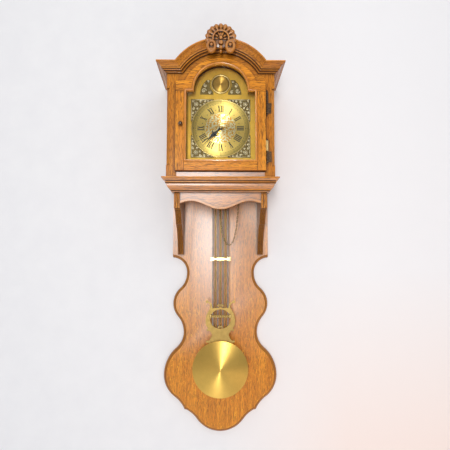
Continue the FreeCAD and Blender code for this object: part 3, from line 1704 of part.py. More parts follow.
def make_hands():
    arbor_bore = size.pivot_radius + size.pivot_clearance
    pipe = size.cannon_radius + size.cannon_bore_clearance + size.hour_pipe_thickness
    make_hand("minute_hand", MINUTE_HAND_SHARES, chapter_outer - size.minute_hand_short,
              size.minute_hand_wing, minute_hand_front, arbor_bore, MINUTE_HAND_ANGLE)
    make_hand("hour_hand", HOUR_HAND_SHARES, chapter_inner + size.hour_hand_reach,
              size.hour_hand_wing, hour_hand_front, pipe + size.pivot_clearance,
              HOUR_HAND_ANGLE)
    nut = turned("nut", [
        (arbor_bore, ZERO), (size.hand_nut_radius, ZERO),
        (size.hand_nut_radius - size.hand_nut_taper, -size.hand_nut_height),
        (arbor_bore, -size.hand_nut_height)], "Y", ZERO, minute_hand_front, dial_centre)
    keep(nut, "hand_nut")


# Pendulum, all on the swing axis of the anchor

rods_top = dial_centre - size.rod_top_below_dial - size.top_bar_height
rods_bottom = dial_centre - size.rod_bottom_below_dial
lyre_back = pendulum_y - size.rod_radius - size.lyre_gap
lyre_front = lyre_back - size.lyre_thickness
bob_back = lyre_front - size.bob_gap
bob_centre = dial_centre - size.bob_below_dial
nut_top = bob_centre - size.nut_below_bob


def make_cock():
    """The bracket whose slit holds the suspension spring."""
    half = size.cock_width / 2
    bottom = swing_axis + size.cock_above_axis
    top = bottom + size.cock_height
    rear = pendulum_y + size.suspension_width
    bracket = block("cock_block", (-half, half), (plate_back, rear), (bottom, top))
    slit = block("cock_slit", (-size.cock_slit / 2, size.cock_slit / 2),
                 (pendulum_y - size.suspension_width, rear),
                 (bottom, swing_axis + size.suspension_above_axis + size.cock_foot_thickness))
    keep(cut("cock", bracket, slit), "suspension_cock")


def make_suspension():
    """Spring, block, leader rod and the bar that carries the seven rods."""
    thin = size.suspension_thickness / 2
    wide = size.suspension_width / 2
    low = swing_axis - size.suspension_length
    block_half = size.suspension_block / 2
    block_deep = size.suspension_block_thickness / 2
    bar_half = size.rod_pitch * RODS_PER_SIDE + size.rod_radius * 2
    bar_deep = size.top_bar_thickness / 2
    bar_top = dial_centre - size.rod_top_below_dial
    pieces = [
        block("spring", (-thin, thin), (pendulum_y - wide, pendulum_y + wide),
              (low, swing_axis + size.suspension_above_axis)),
        block("spring_block", (-block_half, block_half),
              (pendulum_y - block_deep, pendulum_y + block_deep),
              (low - size.suspension_block, low)),
        rod("leader", size.leader_radius, low - size.suspension_block - bar_top,
            ZERO, pendulum_y, bar_top, "Z"),
        block("top_bar", (-bar_half, bar_half), (pendulum_y - bar_deep, pendulum_y + bar_deep),
              (bar_top - size.top_bar_height, bar_top)),
    ]
    keep(joined("suspension", pieces), "pendulum_suspension")


def make_rods():
    """Four steel rods, three brass ones; the middle one runs on behind the bob."""
    metals = {"steel": [], "brass": []}
    for place in ROD_PLACES:
        metal = "brass" if place % 2 == 0 else "steel"
        low = rods_bottom if place else nut_top - size.nut_height - size.rod_end_below_nut
        metals[metal].append(rod(
            f"rod_{place + RODS_PER_SIDE + 1}", size.rod_radius, rods_top - low,
            size.rod_pitch * place, pendulum_y, low, "Z"))
    keep(group("steel_rods", metals["steel"]), "pendulum_rods_steel")
    keep(group("brass_rods", metals["brass"]), "pendulum_rods_brass")


def make_bars():
    """The bridge part way down and the foot bar behind the lyre."""
    deep = size.bridge_thickness / 2
    hole = size.rod_radius + size.bar_clearance
    circles = [(size.rod_pitch * place, pendulum_y, hole) for place in ROD_PLACES]
    top = dial_centre - size.bridge_below_dial + size.bridge_height / 2
    bridge = panel(
        "bridge",
        [box_corners(-size.bridge_half_width, size.bridge_half_width, pendulum_y - deep,
                     pendulum_y + deep)],
        top - size.bridge_height, size.bridge_height, "XY_Plane", circles)
    keep(bridge, "pendulum_bridge")
    half = size.rod_pitch * RODS_PER_SIDE + size.rod_radius + size.low_bar_margin
    foot = panel(
        "foot_bar", [box_corners(-half, half, lyre_back, pendulum_y + deep)],
        rods_bottom - size.low_bar_height, size.low_bar_height, "XY_Plane",
        [(ZERO, pendulum_y, hole)])
    keep(foot, "pendulum_foot_bar")


def make_lyre():
    """The lyre sheet in front of the rods, one half drawn and mirrored."""
    wide = float(size.lyre_half_width)
    tall = float(size.lyre_height)

    def spots(shares):
        return [Vector(wide * across, 0, -tall * drop) for across, drop in shares]

    top, horn, side = spots(LYRE_TOP_SHARES), spots(LYRE_HORN_SHARES), spots(LYRE_SIDE_SHARES)
    waist, foot = spots(LYRE_WAIST_SHARES), spots(LYRE_FOOT_SHARES)
    edges = Part.__sortEdges__([
        smooth_edge(top), smooth_edge(horn), line_edge(horn[-1], side[0]), smooth_edge(side),
        line_edge(side[-1], waist[0]), smooth_edge(waist), line_edge(foot[-1], top[0]),
        *[line_edge(start, end) for start, end in zip(foot, foot[1:])]])
    wire = Part.Wire(edges)
    thick = float(size.lyre_thickness)
    half = Part.Face(wire).extrude(Vector(0, thick, 0))
    pieces = [half]
    for across, drop, radius in LYRE_SCROLL_SHARES:
        pieces.append(bar(wide * radius, 0.0, thick, wide * across, -tall * drop))
    right = fused(pieces)
    whole = fused([right, right.mirror(Vector(), Vector(1, 0, 0))])
    drop, width, height = LYRE_OPENING_SHARES
    middle = Vector(0, 0, -tall * drop)
    oval = Part.Ellipse(middle + Vector(wide * width, 0, 0), middle + Vector(0, 0, tall * height),
                        middle).toShape()
    whole = whole.cut(Part.Face(Part.Wire([oval])).extrude(Vector(0, thick, 0)))
    high, low = LYRE_BAR_SHARES
    crossbar = Part.makeBox(2 * wide * LYRE_BAR_REACH_SHARE, thick, tall * (low - high),
                            Vector(-wide * LYRE_BAR_REACH_SHARE, 0, -tall * low))
    piece = shaped("lyre", fused([whole, crossbar]))
    move_to(piece, ZERO, lyre_front, dial_centre - size.lyre_top_below_dial)
    keep(piece, "pendulum_lyre")


def make_bob():
    """A domed disc with a block behind it that slides on the middle rod."""
    edge = size.bob_edge
    radius = size.bob_radius
    dome = size.bob_thickness - edge
    corners = [
        (ZERO, ZERO), (radius, ZERO), (radius, -edge, size.bob_dome_radius, -1),
        (ZERO, -edge - dome),
    ]
    disc = turned("bob_disc", corners, "Y", ZERO, bob_back, bob_centre)
    half = size.bob_block_half_width
    lug = block("bob_lug", (-half, half), (bob_back, pendulum_y + half),
                (nut_top + size.nut_gap, nut_top + size.nut_gap + size.bob_block_height))
    hole = rod("bob_bore", size.rod_radius + size.nut_clearance, size.bob_radius * 2, ZERO,
               pendulum_y, bob_centre - size.bob_radius, "Z")
    keep(cut("bob", joined("bob_with_lug", [disc, lug]), hole), "pendulum_bob")
    bore = size.rod_radius + size.nut_clearance
    nut = turned("regulator", [
        (bore, -size.nut_height), (size.nut_radius, -size.nut_height), (size.nut_radius, ZERO),
        (bore, ZERO)], "Z", ZERO, pendulum_y, nut_top)
    keep(nut, "rating_nut")


# Chain of real links over both chain wheels, with a free loop between them


def chain_path():
    """Pieces of the chain's middle line as (length, place along it to point and direction)."""
    radius = float(size.sprocket_radius)
    offset = float(size.great_offset)
    level = float(dial_centre) + float(great_spot[1])
    tail = float(size.chain_tail_length)
    sag = float(size.chain_loop_drop)
    low, high = 1.0, offset
    for _ in range(60):
        bend = (low + high) / 2
        if bend * (math.cosh(offset / bend) - 1) > sag:
            low = bend
        else:
            high = bend
    reach = bend * math.sinh(offset / bend)
    middle = radius

    def left_tail(s):
        return (-offset - radius, level - tail + s), (0.0, 1.0)

    def left_wrap(s):
        turn = s / radius
        return ((-offset - radius * math.cos(turn), level + radius * math.sin(turn)),
                (math.sin(turn), math.cos(turn)))

    def loop(s):
        along = s - reach
        x = middle + bend * math.asinh(along / bend)
        z = level - sag + math.hypot(bend, along) - bend
        slope = math.hypot(bend, along)
        return (x, z), (bend / slope, along / slope)

    def right_wrap(s):
        turn = s / radius
        return ((offset + radius * math.cos(turn), level + radius * math.sin(turn)),
                (-math.sin(turn), math.cos(turn)))

    def right_tail(s):
        return (offset - radius, level - s), (0.0, -1.0)

    half_turn = math.pi * radius
    return [(tail, left_tail), (half_turn, left_wrap), (2 * reach, loop),
            (half_turn, right_wrap), (tail, right_tail)]


def make_chain():
    """Oval links, turned a quarter from one to the next."""
    wire = float(size.chain_wire_radius)
    pitch = float(size.chain_pitch)
    bend = float(size.chain_link_width) / 2 - wire
    straight = pitch + 2 * wire + float(size.chain_play) - 2 * (bend - wire)
    pieces = []
    for side in (-1, 1):
        pieces.append(Part.makeCylinder(wire, straight, Vector(side * bend, 0, -straight / 2)))
        ring_end = Part.makeTorus(bend, wire, Vector(0, 0, side * straight / 2),
                                  Vector(0, 1, 0), -180, 180, 180)
        if side < 0:
            ring_end.rotate(Vector(0, 0, -straight / 2), Vector(0, 1, 0), 180)
        pieces.append(ring_end)
    link = fused(pieces)
    links = []
    place = pitch / 2
    for length, spot_at in chain_path():
        while place < length:
            (x, z), (across, up) = spot_at(place)
            piece = link.copy()
            quarter = FreeCAD.Rotation(Vector(0, 0, 1), 90 * (len(links) % 2))
            lean = FreeCAD.Rotation(Vector(0, 1, 0), math.degrees(math.atan2(across, up)))
            piece.Placement = FreeCAD.Placement(
                Vector(x, float(chain_y), z), lean * quarter)
            links.append(piece)
            place += pitch
        place -= length
    keep(shaped("chain_links", Part.makeCompound(links)), "chain")


make_backboard()
make_hanger()
make_hood()
make_cornice()
make_shelf()
make_apron()
make_brackets()
make_crest()
make_door()
make_dial()
make_plates()
make_seat()
make_train()
make_motion_work()
make_hands()
make_cock()
make_suspension()
make_rods()
make_bars()
make_lyre()
make_bob()
make_chain()


# Checking and writing


def check(document):
    """Stops if an object has failed or a piece has no sound shape."""
    for thing in document.Objects:
        if "Invalid" in thing.State or "Error" in thing.State:
            raise RuntimeError(f"{thing.Name} did not recompute: {thing.State}")
    for piece in sub_parts:
        if piece.Shape.isNull() or not piece.Shape.Solids or not piece.Shape.isValid():
            raise RuntimeError(f"{piece.Label} has no valid solid")


doc.recompute()
check(doc)
os.makedirs(PARTS_FOLDER, exist_ok=True)
for sub_part in sub_parts:
    sub_part.Shape.exportStep(os.path.join(PARTS_FOLDER, f"{sub_part.Label}.step"))
print(len(sub_parts), "sub-parts,", round(sum(piece.Shape.Volume for piece in sub_parts)), "mm3")
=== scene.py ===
import math

import bmesh
import bpy
from mathutils import Matrix, Vector
from mathutils.bvhtree import BVHTree


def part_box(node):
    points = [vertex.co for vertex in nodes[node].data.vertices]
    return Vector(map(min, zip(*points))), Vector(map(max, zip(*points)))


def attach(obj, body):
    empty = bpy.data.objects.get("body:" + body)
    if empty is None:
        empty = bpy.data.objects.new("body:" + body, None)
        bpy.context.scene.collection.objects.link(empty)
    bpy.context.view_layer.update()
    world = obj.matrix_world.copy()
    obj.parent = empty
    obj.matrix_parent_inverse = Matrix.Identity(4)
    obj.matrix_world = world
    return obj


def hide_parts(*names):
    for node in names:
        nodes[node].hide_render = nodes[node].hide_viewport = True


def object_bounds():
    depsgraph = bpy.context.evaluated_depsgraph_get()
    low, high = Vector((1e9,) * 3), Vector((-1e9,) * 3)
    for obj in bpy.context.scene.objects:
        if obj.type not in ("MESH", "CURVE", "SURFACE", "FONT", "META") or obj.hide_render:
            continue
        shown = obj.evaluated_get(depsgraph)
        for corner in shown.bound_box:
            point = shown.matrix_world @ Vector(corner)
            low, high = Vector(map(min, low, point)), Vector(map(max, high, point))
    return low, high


# A wall clock with a glazed oak hood, a shaped tail board and a lyre pendulum.
# Metres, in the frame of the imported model: X to the right, the front faces -Y, Z up.

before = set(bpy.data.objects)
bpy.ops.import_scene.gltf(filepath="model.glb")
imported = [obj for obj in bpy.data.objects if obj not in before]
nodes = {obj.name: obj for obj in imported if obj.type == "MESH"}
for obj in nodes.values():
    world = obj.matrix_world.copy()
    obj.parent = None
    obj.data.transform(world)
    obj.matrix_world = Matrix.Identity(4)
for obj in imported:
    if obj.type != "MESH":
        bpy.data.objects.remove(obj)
cad_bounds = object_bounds()

MM = 0.001
DEPTH = Vector((0.0, 1.0, 0.0))
scene = bpy.context.scene

# Camera fitted to the photograph
IMAGE_WIDTH = 450
FOCAL_PIXELS = 396
CAMERA_PLACE = (0.0, -1.282, -0.500)
CAMERA_PITCH = math.radians(3.96)
CAMERA_YAW = math.radians(-0.65)
CAMERA_ROLL = math.radians(0.05)


def new_object(name, data):
    made = bpy.data.objects.new(name, data)
    scene.collection.objects.link(made)
    return made


def turns(count):
    """Angles evenly round a circle."""
    return [math.tau * step / count for step in range(count)]


def toward(angle):
    """The direction at a clockwise angle from straight up."""
    return Vector((math.sin(angle), 0.0, math.cos(angle)))


# Node materials


class Paint:
    """A node material, built a step at a time."""

    def __init__(self, name):
        self.material = bpy.data.materials.new(name)
        self.material.use_nodes = True
        self.nodes = self.material.node_tree.nodes
        self.links = self.material.node_tree.links
        self.nodes.clear()
        self.out = self.nodes.new("ShaderNodeOutputMaterial")
        self.shader = self.nodes.new("ShaderNodeBsdfPrincipled")
        self.links.new(self.shader.outputs[0], self.out.inputs["Surface"])

    def put(self, socket, value):
        """Sets a socket to a value or links it to another one."""
        if isinstance(value, bpy.types.NodeSocket):
            self.links.new(value, socket)
        elif isinstance(value, tuple) and len(value) == 3 and socket.type == "RGBA":
            socket.default_value = (*value, 1.0)
        else:
            socket.default_value = value

    def node(self, kind, settings=None, **inputs):
        """A node with its settings and inputs. Input names take _ for a space."""
        made = self.nodes.new(f"ShaderNode{kind}")
        for key, value in (settings or {}).items():
            setattr(made, key, value)
        for key, value in inputs.items():
            place = int(key[1:]) if key[1:].isdigit() else key.replace("_", " ")
            self.put(made.inputs[place], value)
        return made

    def surface(self, **inputs):
        for key, value in inputs.items():
            self.put(self.shader.inputs[key.replace("_", " ")], value)
        return self

    def place(self, scale=(1.0, 1.0, 1.0), turn=(0.0, 0.0, 0.0), shift=(0.0, 0.0, 0.0)):
        """Object coordinates, shifted, turned and scaled."""
        source = self.node("TexCoord").outputs["Object"]
        mapping = self.node("Mapping", Vector=source, Location=shift, Rotation=turn, Scale=scale)
        return mapping.outputs[0]

    def noise(self, where, scale, detail=3.0, roughness=0.5, distortion=0.0):
        return self.node("TexNoise", Vector=where, Scale=scale, Detail=detail,
                         Roughness=roughness, Distortion=distortion).outputs["Fac"]

    def ramp(self, value, low, high, from_value=0.0, to_value=1.0):
        """A straight ramp of a value between two limits."""
        return self.node("MapRange", Value=value, From_Min=low, From_Max=high,
                         To_Min=from_value, To_Max=to_value).outputs[0]

    def mix(self, share, first, second, how="MIX"):
        made = self.node("Mix", {"data_type": "RGBA", "blend_type": how})
        for socket, value in zip((made.inputs[0], made.inputs[6], made.inputs[7]),
                                 (share, first, second)):
            self.put(socket, value)
        return made.outputs[2]

    def math(self, how, first, second=0.0):
        made = self.node("Math", {"operation": how})
        self.put(made.inputs[0], first)
        self.put(made.inputs[1], second)
        return made.outputs[0]

    def times(self, first, second):
        return self.math("MULTIPLY", first, second)

    def along(self, axis):
        """The object coordinate along an axis."""
        return self.node("SeparateXYZ", Vector=self.place()).outputs[axis]

    def blend_shaders(self, share, first, second):
        """Shows one shader node through another, by a share."""
        mixed = self.node("MixShader", i0=share, i1=first.outputs[0], i2=second.outputs[0])
        self.links.new(mixed.outputs[0], self.out.inputs["Surface"])

    def bump(self, height, distance, strength=1.0, normal=None):
        made = self.node("Bump", Height=height, Distance=distance, Strength=strength)
        if normal is not None:
            self.put(made.inputs["Normal"], normal)
        return made.outputs[0]

    def soft_edges(self, radius):
        """The normal with its edges rounded, and how near an edge a point is."""
        rounded = self.node("Bevel", {"samples": 4}, Radius=radius).outputs[0]
        flat = self.node("NewGeometry").outputs["Normal"]
        dot = self.node("VectorMath", {"operation": "DOT_PRODUCT"})
        self.put(dot.inputs[0], rounded)
        self.put(dot.inputs[1], flat)
        return rounded, self.ramp(dot.outputs["Value"], 0.995, 0.90)

    def hollows(self, distance, low=0.35, high=0.95):
        """Painted shade: one in tight corners, where ambient occlusion finds shade, and zero on
        open faces.
        """
        open_share = self.node("AmbientOcclusion", {"samples": 6}, Distance=distance)
        return self.ramp(open_share.outputs["AO"], low, high, 1.0, 0.0)


GRAIN_SCALES = {"X": (0.04, 1.0, 1.0), "Y": (1.0, 0.04, 1.0), "Z": (1.0, 1.0, 0.04)}
OAK_LIGHT = (0.96, 0.385, 0.024)
OAK_DARK = (0.58, 0.185, 0.008)
OAK_PORE = (0.10, 0.032, 0.004)
# Near-black colour of the painted shade in corners
OAK_CORNER_SHADE = (0.040, 0.012, 0.003)


def shade(colour, factor):
    return tuple(min(1.0, channel * factor) for channel in colour)


def oak(name, grain="Z", tone=1.0, edge=0.0012, seed=0.0, fleck=0.0, corner_shade=0.8, coat=0.12,
        gloss=0.24, hollow=0.007, shine=1.5, streak=0.75, waxed=None):
    """Waxed oak: growth figure, open pores along the grain, ray flecks and painted shade in
    corners.
    """
    paint = Paint(f"oak_{name}")
    stretched = paint.place(GRAIN_SCALES[grain], shift=(seed, seed * 2.0, seed * 3.0))
    plain = paint.place()
    figure = paint.noise(stretched, 46.0, 5.0, 0.55, 1.6)
    rings = paint.node("TexWave", {"wave_type": "RINGS", "rings_direction": grain},
                       Vector=stretched, Scale=62.0, Distortion=7.0, Detail=3.0,
                       Detail_Scale=1.4).outputs["Fac"]
    pores = paint.noise(stretched, 1150.0, 2.0, 0.6)
    fine = paint.noise(stretched, 3400.0, 1.0, 0.5)
    short = paint.place(shift=(seed, seed, seed), scale=tuple(
        0.10 if scale < 1 else 1.0 for scale in GRAIN_SCALES[grain]))
    streaks = paint.noise(short, 500.0, 2.0, 0.7, 0.3)
    cloud = paint.noise(plain, 7.0, 3.0, 0.6)
    light = shade(OAK_LIGHT, tone)
    dark = shade(OAK_DARK, tone)
    colour = paint.mix(paint.ramp(figure, 0.30, 0.72), dark, light)
    ring_share = paint.times(paint.ramp(rings, 0.55, 0.95), 0.42)
    colour = paint.mix(ring_share, colour, dark)
    colour = paint.mix(paint.ramp(cloud, 0.35, 0.7, 0.0, 0.28), colour, dark)
    pore_share = paint.ramp(pores, 0.56, 0.66)
    colour = paint.mix(paint.times(pore_share, 0.7), colour, OAK_PORE)
    colour = paint.mix(paint.ramp(streaks, 0.52, 0.63, 0.0, streak), colour, OAK_PORE)
    colour = paint.mix(paint.ramp(fine, 0.5, 0.75, 0.0, 0.3), colour, dark)
    if fleck:
        across = paint.place((1.0, 1.0, 0.45), turn=(0.0, 0.35, 0.0))
        rays = paint.noise(across, 150.0, 2.0, 0.55, 1.8)
        share = paint.times(paint.ramp(rays, 0.60, 0.68), fleck)
        colour = paint.mix(share, colour, shade(light, 1.35))
    rounded, near_edge = paint.soft_edges(edge)
    colour = paint.mix(paint.times(near_edge, 0.25), colour, dark)
    # Painted shade: darker where ambient occlusion finds tight corners and creases
    corner = paint.hollows(hollow, 0.42, 0.97)
    colour = paint.mix(paint.times(corner, corner_shade), colour, OAK_CORNER_SHADE)
    height = paint.math("SUBTRACT", paint.times(fine, 0.25), pore_share)
    rough = paint.ramp(pore_share, 0.0, 1.0, 0.36, 0.6)
    paint.surface(Base_Color=colour, Roughness=rough, Normal=paint.bump(
        height, 0.00012, 0.55, rounded), Coat_Weight=coat, Coat_Roughness=gloss,
        Coat_IOR=shine, Specular_IOR_Level=0.25)
    if waxed:
        low, high = waxed
        paint.surface(Coat_Weight=paint.ramp(paint.along("Z"), low, high, coat * 0.1, coat))
    return paint.material


def brass(name, colour, rough=0.3, patina=0.35, scale=260.0, edge=0.0004, corner_shade=0.7,
          relief=0.00002):
    """Lacquered brass with darker patches, fine scratches, bright edges and painted shade in
    corners.
    """
    paint = Paint(f"brass_{name}")
    plain = paint.place()
    patches = paint.noise(plain, scale * 0.25, 5.0, 0.65)
    grit = paint.noise(plain, scale * 9.0, 3.0, 0.7)
    dark = shade(colour, 0.42)
    share = paint.times(paint.ramp(patches, 0.38, 0.72), patina)
    tone = paint.mix(share, colour, dark)
    rounded, near_edge = paint.soft_edges(edge)
    tone = paint.mix(paint.times(near_edge, 0.5), tone, shade(colour, 1.25))
    # Painted shade: darker where ambient occlusion finds tight corners
    tone = paint.mix(paint.times(paint.hollows(0.004), corner_shade), tone, shade(colour, 0.08))
    roughness = paint.ramp(paint.math("ADD", patches, grit), 0.6, 1.4, rough * 0.8, rough * 1.3)
    paint.surface(Base_Color=tone, Metallic=1.0, Roughness=roughness,
                  Normal=paint.bump(grit, relief, 0.5, rounded))
    return paint.material


def spun_brass(name, colour, centre, rough=0.4, lean=None, rim=None, mottle=None, patina=0.3):
    """Brass turned on a lathe, so that light spreads into a fan across its fine rings."""
    paint = Paint(f"brass_{name}")
    shift = tuple(-value for value in centre)
    around = paint.place(shift=shift)
    reach = paint.node("VectorMath", {"operation": "LENGTH"}, i0=around).outputs["Value"]
    rings = paint.node("TexWave", {"wave_type": "RINGS", "rings_direction": "Y"},
                       Vector=around, Scale=900.0, Distortion=0.4, Detail=2.0).outputs["Fac"]
    patches = paint.noise(around, 60.0, 5.0, 0.65)
    spots = paint.noise(around, 190.0 if mottle else 270.0, 2.0, 0.5)
    tone = paint.mix(paint.times(paint.ramp(patches, 0.4, 0.7), patina),
                     colour, shade(colour, 0.5))
    tone = paint.mix(paint.ramp(rings, 0.3, 1.0, 0.0, 0.16), tone, shade(colour, 0.6))
    if mottle:
        tone = paint.mix(paint.ramp(spots, 0.47, 0.53), tone, mottle)
    if rim:
        start, end, share = rim
        tone = paint.mix(paint.ramp(reach, start, end, 0.0, share), tone, shade(colour, 0.28))
    local = paint.node("VectorMath", {"operation": "CROSS_PRODUCT"}, i0=around,
                       i1=(0.0, 1.0, 0.0)).outputs[0]
    normal = None
    if lean:
        flat = paint.node("NewGeometry").outputs["Normal"]
        leaning = paint.node("VectorMath", {"operation": "ADD"}, i0=flat, i1=lean).outputs[0]
        normal = paint.node("VectorMath", {"operation": "NORMALIZE"}, i0=leaning).outputs[0]
    paint.surface(Base_Color=tone, Metallic=1.0, Anisotropic=0.94, Anisotropic_Rotation=0.25,
                  Tangent=local, Roughness=paint.ramp(spots, 0.3, 0.7, rough * 0.9, rough * 1.15),
                  Normal=paint.bump(spots, 0.00001, 0.3, normal))
    return paint.material


def steel(name, colour, rough=0.28):
    """Drawn steel with lengthwise lines and a little dulling."""
    paint = Paint(name)
    lines = paint.noise(paint.place((1.0, 1.0, 0.03)), 5200.0, 2.0, 0.6)
    dull = paint.noise(paint.place(), 60.0, 4.0, 0.6)
    tone = paint.mix(paint.ramp(dull, 0.4, 0.7, 0.0, 0.35), colour, shade(colour, 0.55))
    paint.surface(Base_Color=tone, Metallic=1.0,
                  Roughness=paint.ramp(dull, 0.3, 0.7, rough, rough * 1.5),
                  Normal=paint.bump(lines, 0.00002, 0.4))
    return paint.material


def black_lacquer(name, worn=0.5):
    """Black paint or wax with worn, paler edges."""
    paint = Paint(name)
    wear = paint.noise(paint.place(), 900.0, 3.0, 0.6)
    rounded, near_edge = paint.soft_edges(0.0003)
    tone = paint.mix(paint.times(near_edge, paint.ramp(wear, 0.45, 0.6, 0.0, worn)),
                     (0.012, 0.013, 0.018), (0.12, 0.11, 0.10))
    tone = paint.mix(paint.ramp(wear, 0.3, 0.7, 0.0, worn * 0.4), tone, (0.05, 0.045, 0.04))
    paint.surface(Base_Color=tone, Metallic=0.3, Roughness=0.4, Normal=rounded)
    return paint.material


def aged_bronze(name, bright=None):
    """Dark bronze, rubbed bright on its edges, and polished between two heights if given."""
    paint = Paint(name)
    cloud = paint.noise(paint.place(), 240.0, 4.0, 0.6)
    rounded, near_edge = paint.soft_edges(0.0006)
    tone = paint.mix(paint.ramp(cloud, 0.35, 0.7), (0.16, 0.085, 0.035), (0.05, 0.03, 0.018))
    tone = paint.mix(paint.times(near_edge, 0.7), tone, (0.62, 0.38, 0.14))
    if bright:
        height = paint.along("Z")
        inside = paint.times(paint.math("GREATER_THAN", height, bright[0]),
                             paint.math("LESS_THAN", height, bright[1]))
        tone = paint.mix(inside, tone, (0.85, 0.62, 0.26))
    paint.surface(Base_Color=tone, Metallic=1.0, Roughness=paint.ramp(cloud, 0.3, 0.7, 0.3, 0.5),
                  Normal=paint.bump(cloud, 0.0001, 0.3, rounded), Coat_Weight=1.0,
                  Coat_Roughness=0.08)
    return paint.material


def pane(name):
    """Clear window glass: see-through with a reflection that grows at a slant."""
    paint = Paint(name)
    clear = paint.node("BsdfTransparent", Color=(0.97, 0.98, 0.97))
    ripple = paint.noise(paint.place(), 18.0, 2.0, 0.5)
    gloss = paint.node("BsdfGlossy", Color=(1.0, 1.0, 1.0), Roughness=0.02,
                       Normal=paint.bump(ripple, 0.0004, 0.15))
    slant = paint.node("LayerWeight", Blend=0.5).outputs["Facing"]
    steep = paint.times(paint.math("POWER", slant, 5.0), 0.9)
    share = paint.math("ADD", steep, 0.012)
    paint.blend_shaders(share, clear, gloss)
    paint.nodes.remove(paint.shader)
    return paint.material


def dress(material, *names):
    """Gives CAD nodes their material."""
    for name in names:
        for slot in nodes[name].material_slots:
            slot.material = material


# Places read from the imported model


def middle(name):
    low, high = (Vector(corner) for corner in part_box(name))
    return (low + high) / 2


def front_of(name):
    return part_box(name)[0][1]


ring_centre = middle("chapter_ring")
boss_centre = middle("dial_boss")
bob_centre = middle("pendulum_bob")
ring_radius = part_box("chapter_ring")[1][0] - ring_centre.x
disc_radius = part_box("dial_centre_disc")[1][0] - ring_centre.x
boss_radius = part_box("dial_boss")[1][0] - boss_centre.x

# Heights between which the lower hinge is polished
LOWER_HINGE_BRIGHT = (-0.2130, -0.1834)

# Heights between which the gloss of old wax grows
BOARD_WAX = (-0.84, -0.48)
GLOSSY_WAX = (-0.41, -0.27)

# Finishes of the scene's own pieces

beaded = oak("beaded", "X", 1.0, edge=0.0004, seed=5.3, corner_shade=0.6, coat=1.0, gloss=0.15,
             hollow=0.002, streak=0.3)
# Very dark oak: the door's real dark joints, and painted shade in the grooves of the mouldings and
# round the door
dark_joint_and_painted_shade = oak("dark_joint_and_painted_shade", "X", 0.16, edge=0.0004, seed=6.1, coat=0.0)
carved = oak("carved", "Z", 0.72, edge=0.0005, seed=2.9, corner_shade=1.0, coat=1.0, gloss=0.24,
             hollow=0.010, shine=1.7, streak=0.2)
board = oak("board", "Z", 1.0, edge=0.002, seed=2.3, fleck=0.5, coat=1.0, gloss=0.42,
            shine=3.1, streak=0.55, waxed=BOARD_WAX)
# Painted shade: a darker copy of the board's oak for its moulded edge, which turns away from the
# light
board_edge_painted_shade = oak("board_edge_painted_shade", "Z", 0.50, edge=0.0008, seed=2.4, coat=0.8, streak=0.3)
# Painted shade: the brackets' hollow fronts take a much darker copy of the oak than their upper
# blocks
bracket_painted_shade_oak = oak("bracket", "Z", 0.40, seed=0.9, corner_shade=0.95)
bracket_block = oak("bracket_block", "Z", 1.0, seed=1.4, coat=1.0)
sight_oak = oak("sight", "Z", 1.0, edge=0.0006, seed=4.3, corner_shade=0.35, coat=1.0, gloss=0.16,
                shine=1.9, streak=0.3)
cast_brass = brass("cast", (1.0, 0.88, 0.58), 0.38, 0.15, 500.0, corner_shade=0.5)
rim_brass = brass("rim", (0.98, 0.74, 0.30), 0.28, 0.15, 300.0)
trim_brass = brass("trim", (0.78, 0.56, 0.22), 0.35, 0.2, 300.0, corner_shade=0.4)
spandrel_ground = brass("ground", (0.24, 0.17, 0.06), 0.5, 0.6, 500.0)
numeral_black = black_lacquer("numeral_black", worn=0.6)

# Finishes of the CAD nodes

dress(board, "backboard")
dress(bracket_painted_shade_oak, "brackets")
dress(oak("upright", "Z", 0.88, seed=0.3, corner_shade=0.95, hollow=0.012),
      "hood_stiles", "hood_sides", "hood_mask_strips")
dress(oak("level", "X", 0.88, seed=0.7, corner_shade=0.95, hollow=0.012), "hood_fascia", "hood_roof")
dress(oak("glossy", "X", 0.86, seed=0.8, corner_shade=0.95, coat=1.0, gloss=0.34, hollow=0.010,
          shine=2.5, waxed=GLOSSY_WAX), "hood_rail", "apron_board")
dress(oak("deep", "Y", 0.72, seed=1.1), "shelf_board", "seat_board", "seat_bearers")
dress(oak("moulded", "X", 0.84, edge=0.0008, seed=1.7, corner_shade=1.0, coat=0.8, gloss=0.2),
      "cornice_arch", "cornice_fronts")
dress(oak("shelf", "X", 1.0, edge=0.0008, seed=1.8, corner_shade=0.9, coat=1.0, gloss=0.3, shine=2.3),
      "shelf_moulding_front")
dress(oak("moulded_deep", "Y", 0.66, edge=0.0008, seed=1.9, corner_shade=1.0, coat=0.4),
      "cornice_returns", "shelf_moulding_returns")
dress(oak("door_upright", "Z", 1.0, seed=3.1), "door_stiles")
dress(oak("door_level", "X", 1.03, seed=3.7), "door_bottom_rail", "door_arch_rail")
dress(brass("chain", (0.27, 0.18, 0.06), 0.35, 0.5, corner_shade=0.5), "chain")
dress(brass("plain", (0.80, 0.56, 0.20)), "front_plate", "back_plate", "movement_pillars",
      "suspension_cock", "centre_wheel", "cannon_pinion", "hand_nut", "hour_wheel",
      "minute_wheel", "going_wheel", "strike_wheel", "third_wheel", "escape_wheel", "dial_feet",
      "pendulum_bridge", "pendulum_foot_bar", "rating_nut")
dress(brass("rod", (0.50, 0.33, 0.11), 0.3, 0.4), "pendulum_rods_brass")
dress(brass("dial", (0.80, 0.50, 0.085), 0.55, 0.3, 120.0), "dial_plate")
dress(brass("lyre", (0.46, 0.305, 0.095), 0.42, 0.35, 300.0, corner_shade=0.4), "pendulum_lyre")
dress(spun_brass("ring", (1.0, 0.72, 0.20), ring_centre, rim=(0.070, ring_radius, 0.85),
                 patina=0.1), "chapter_ring")
dress(spun_brass("centre", (1.0, 0.92, 0.58), ring_centre, mottle=(0.86, 0.44, 0.05),
                 patina=0.0), "dial_centre_disc")
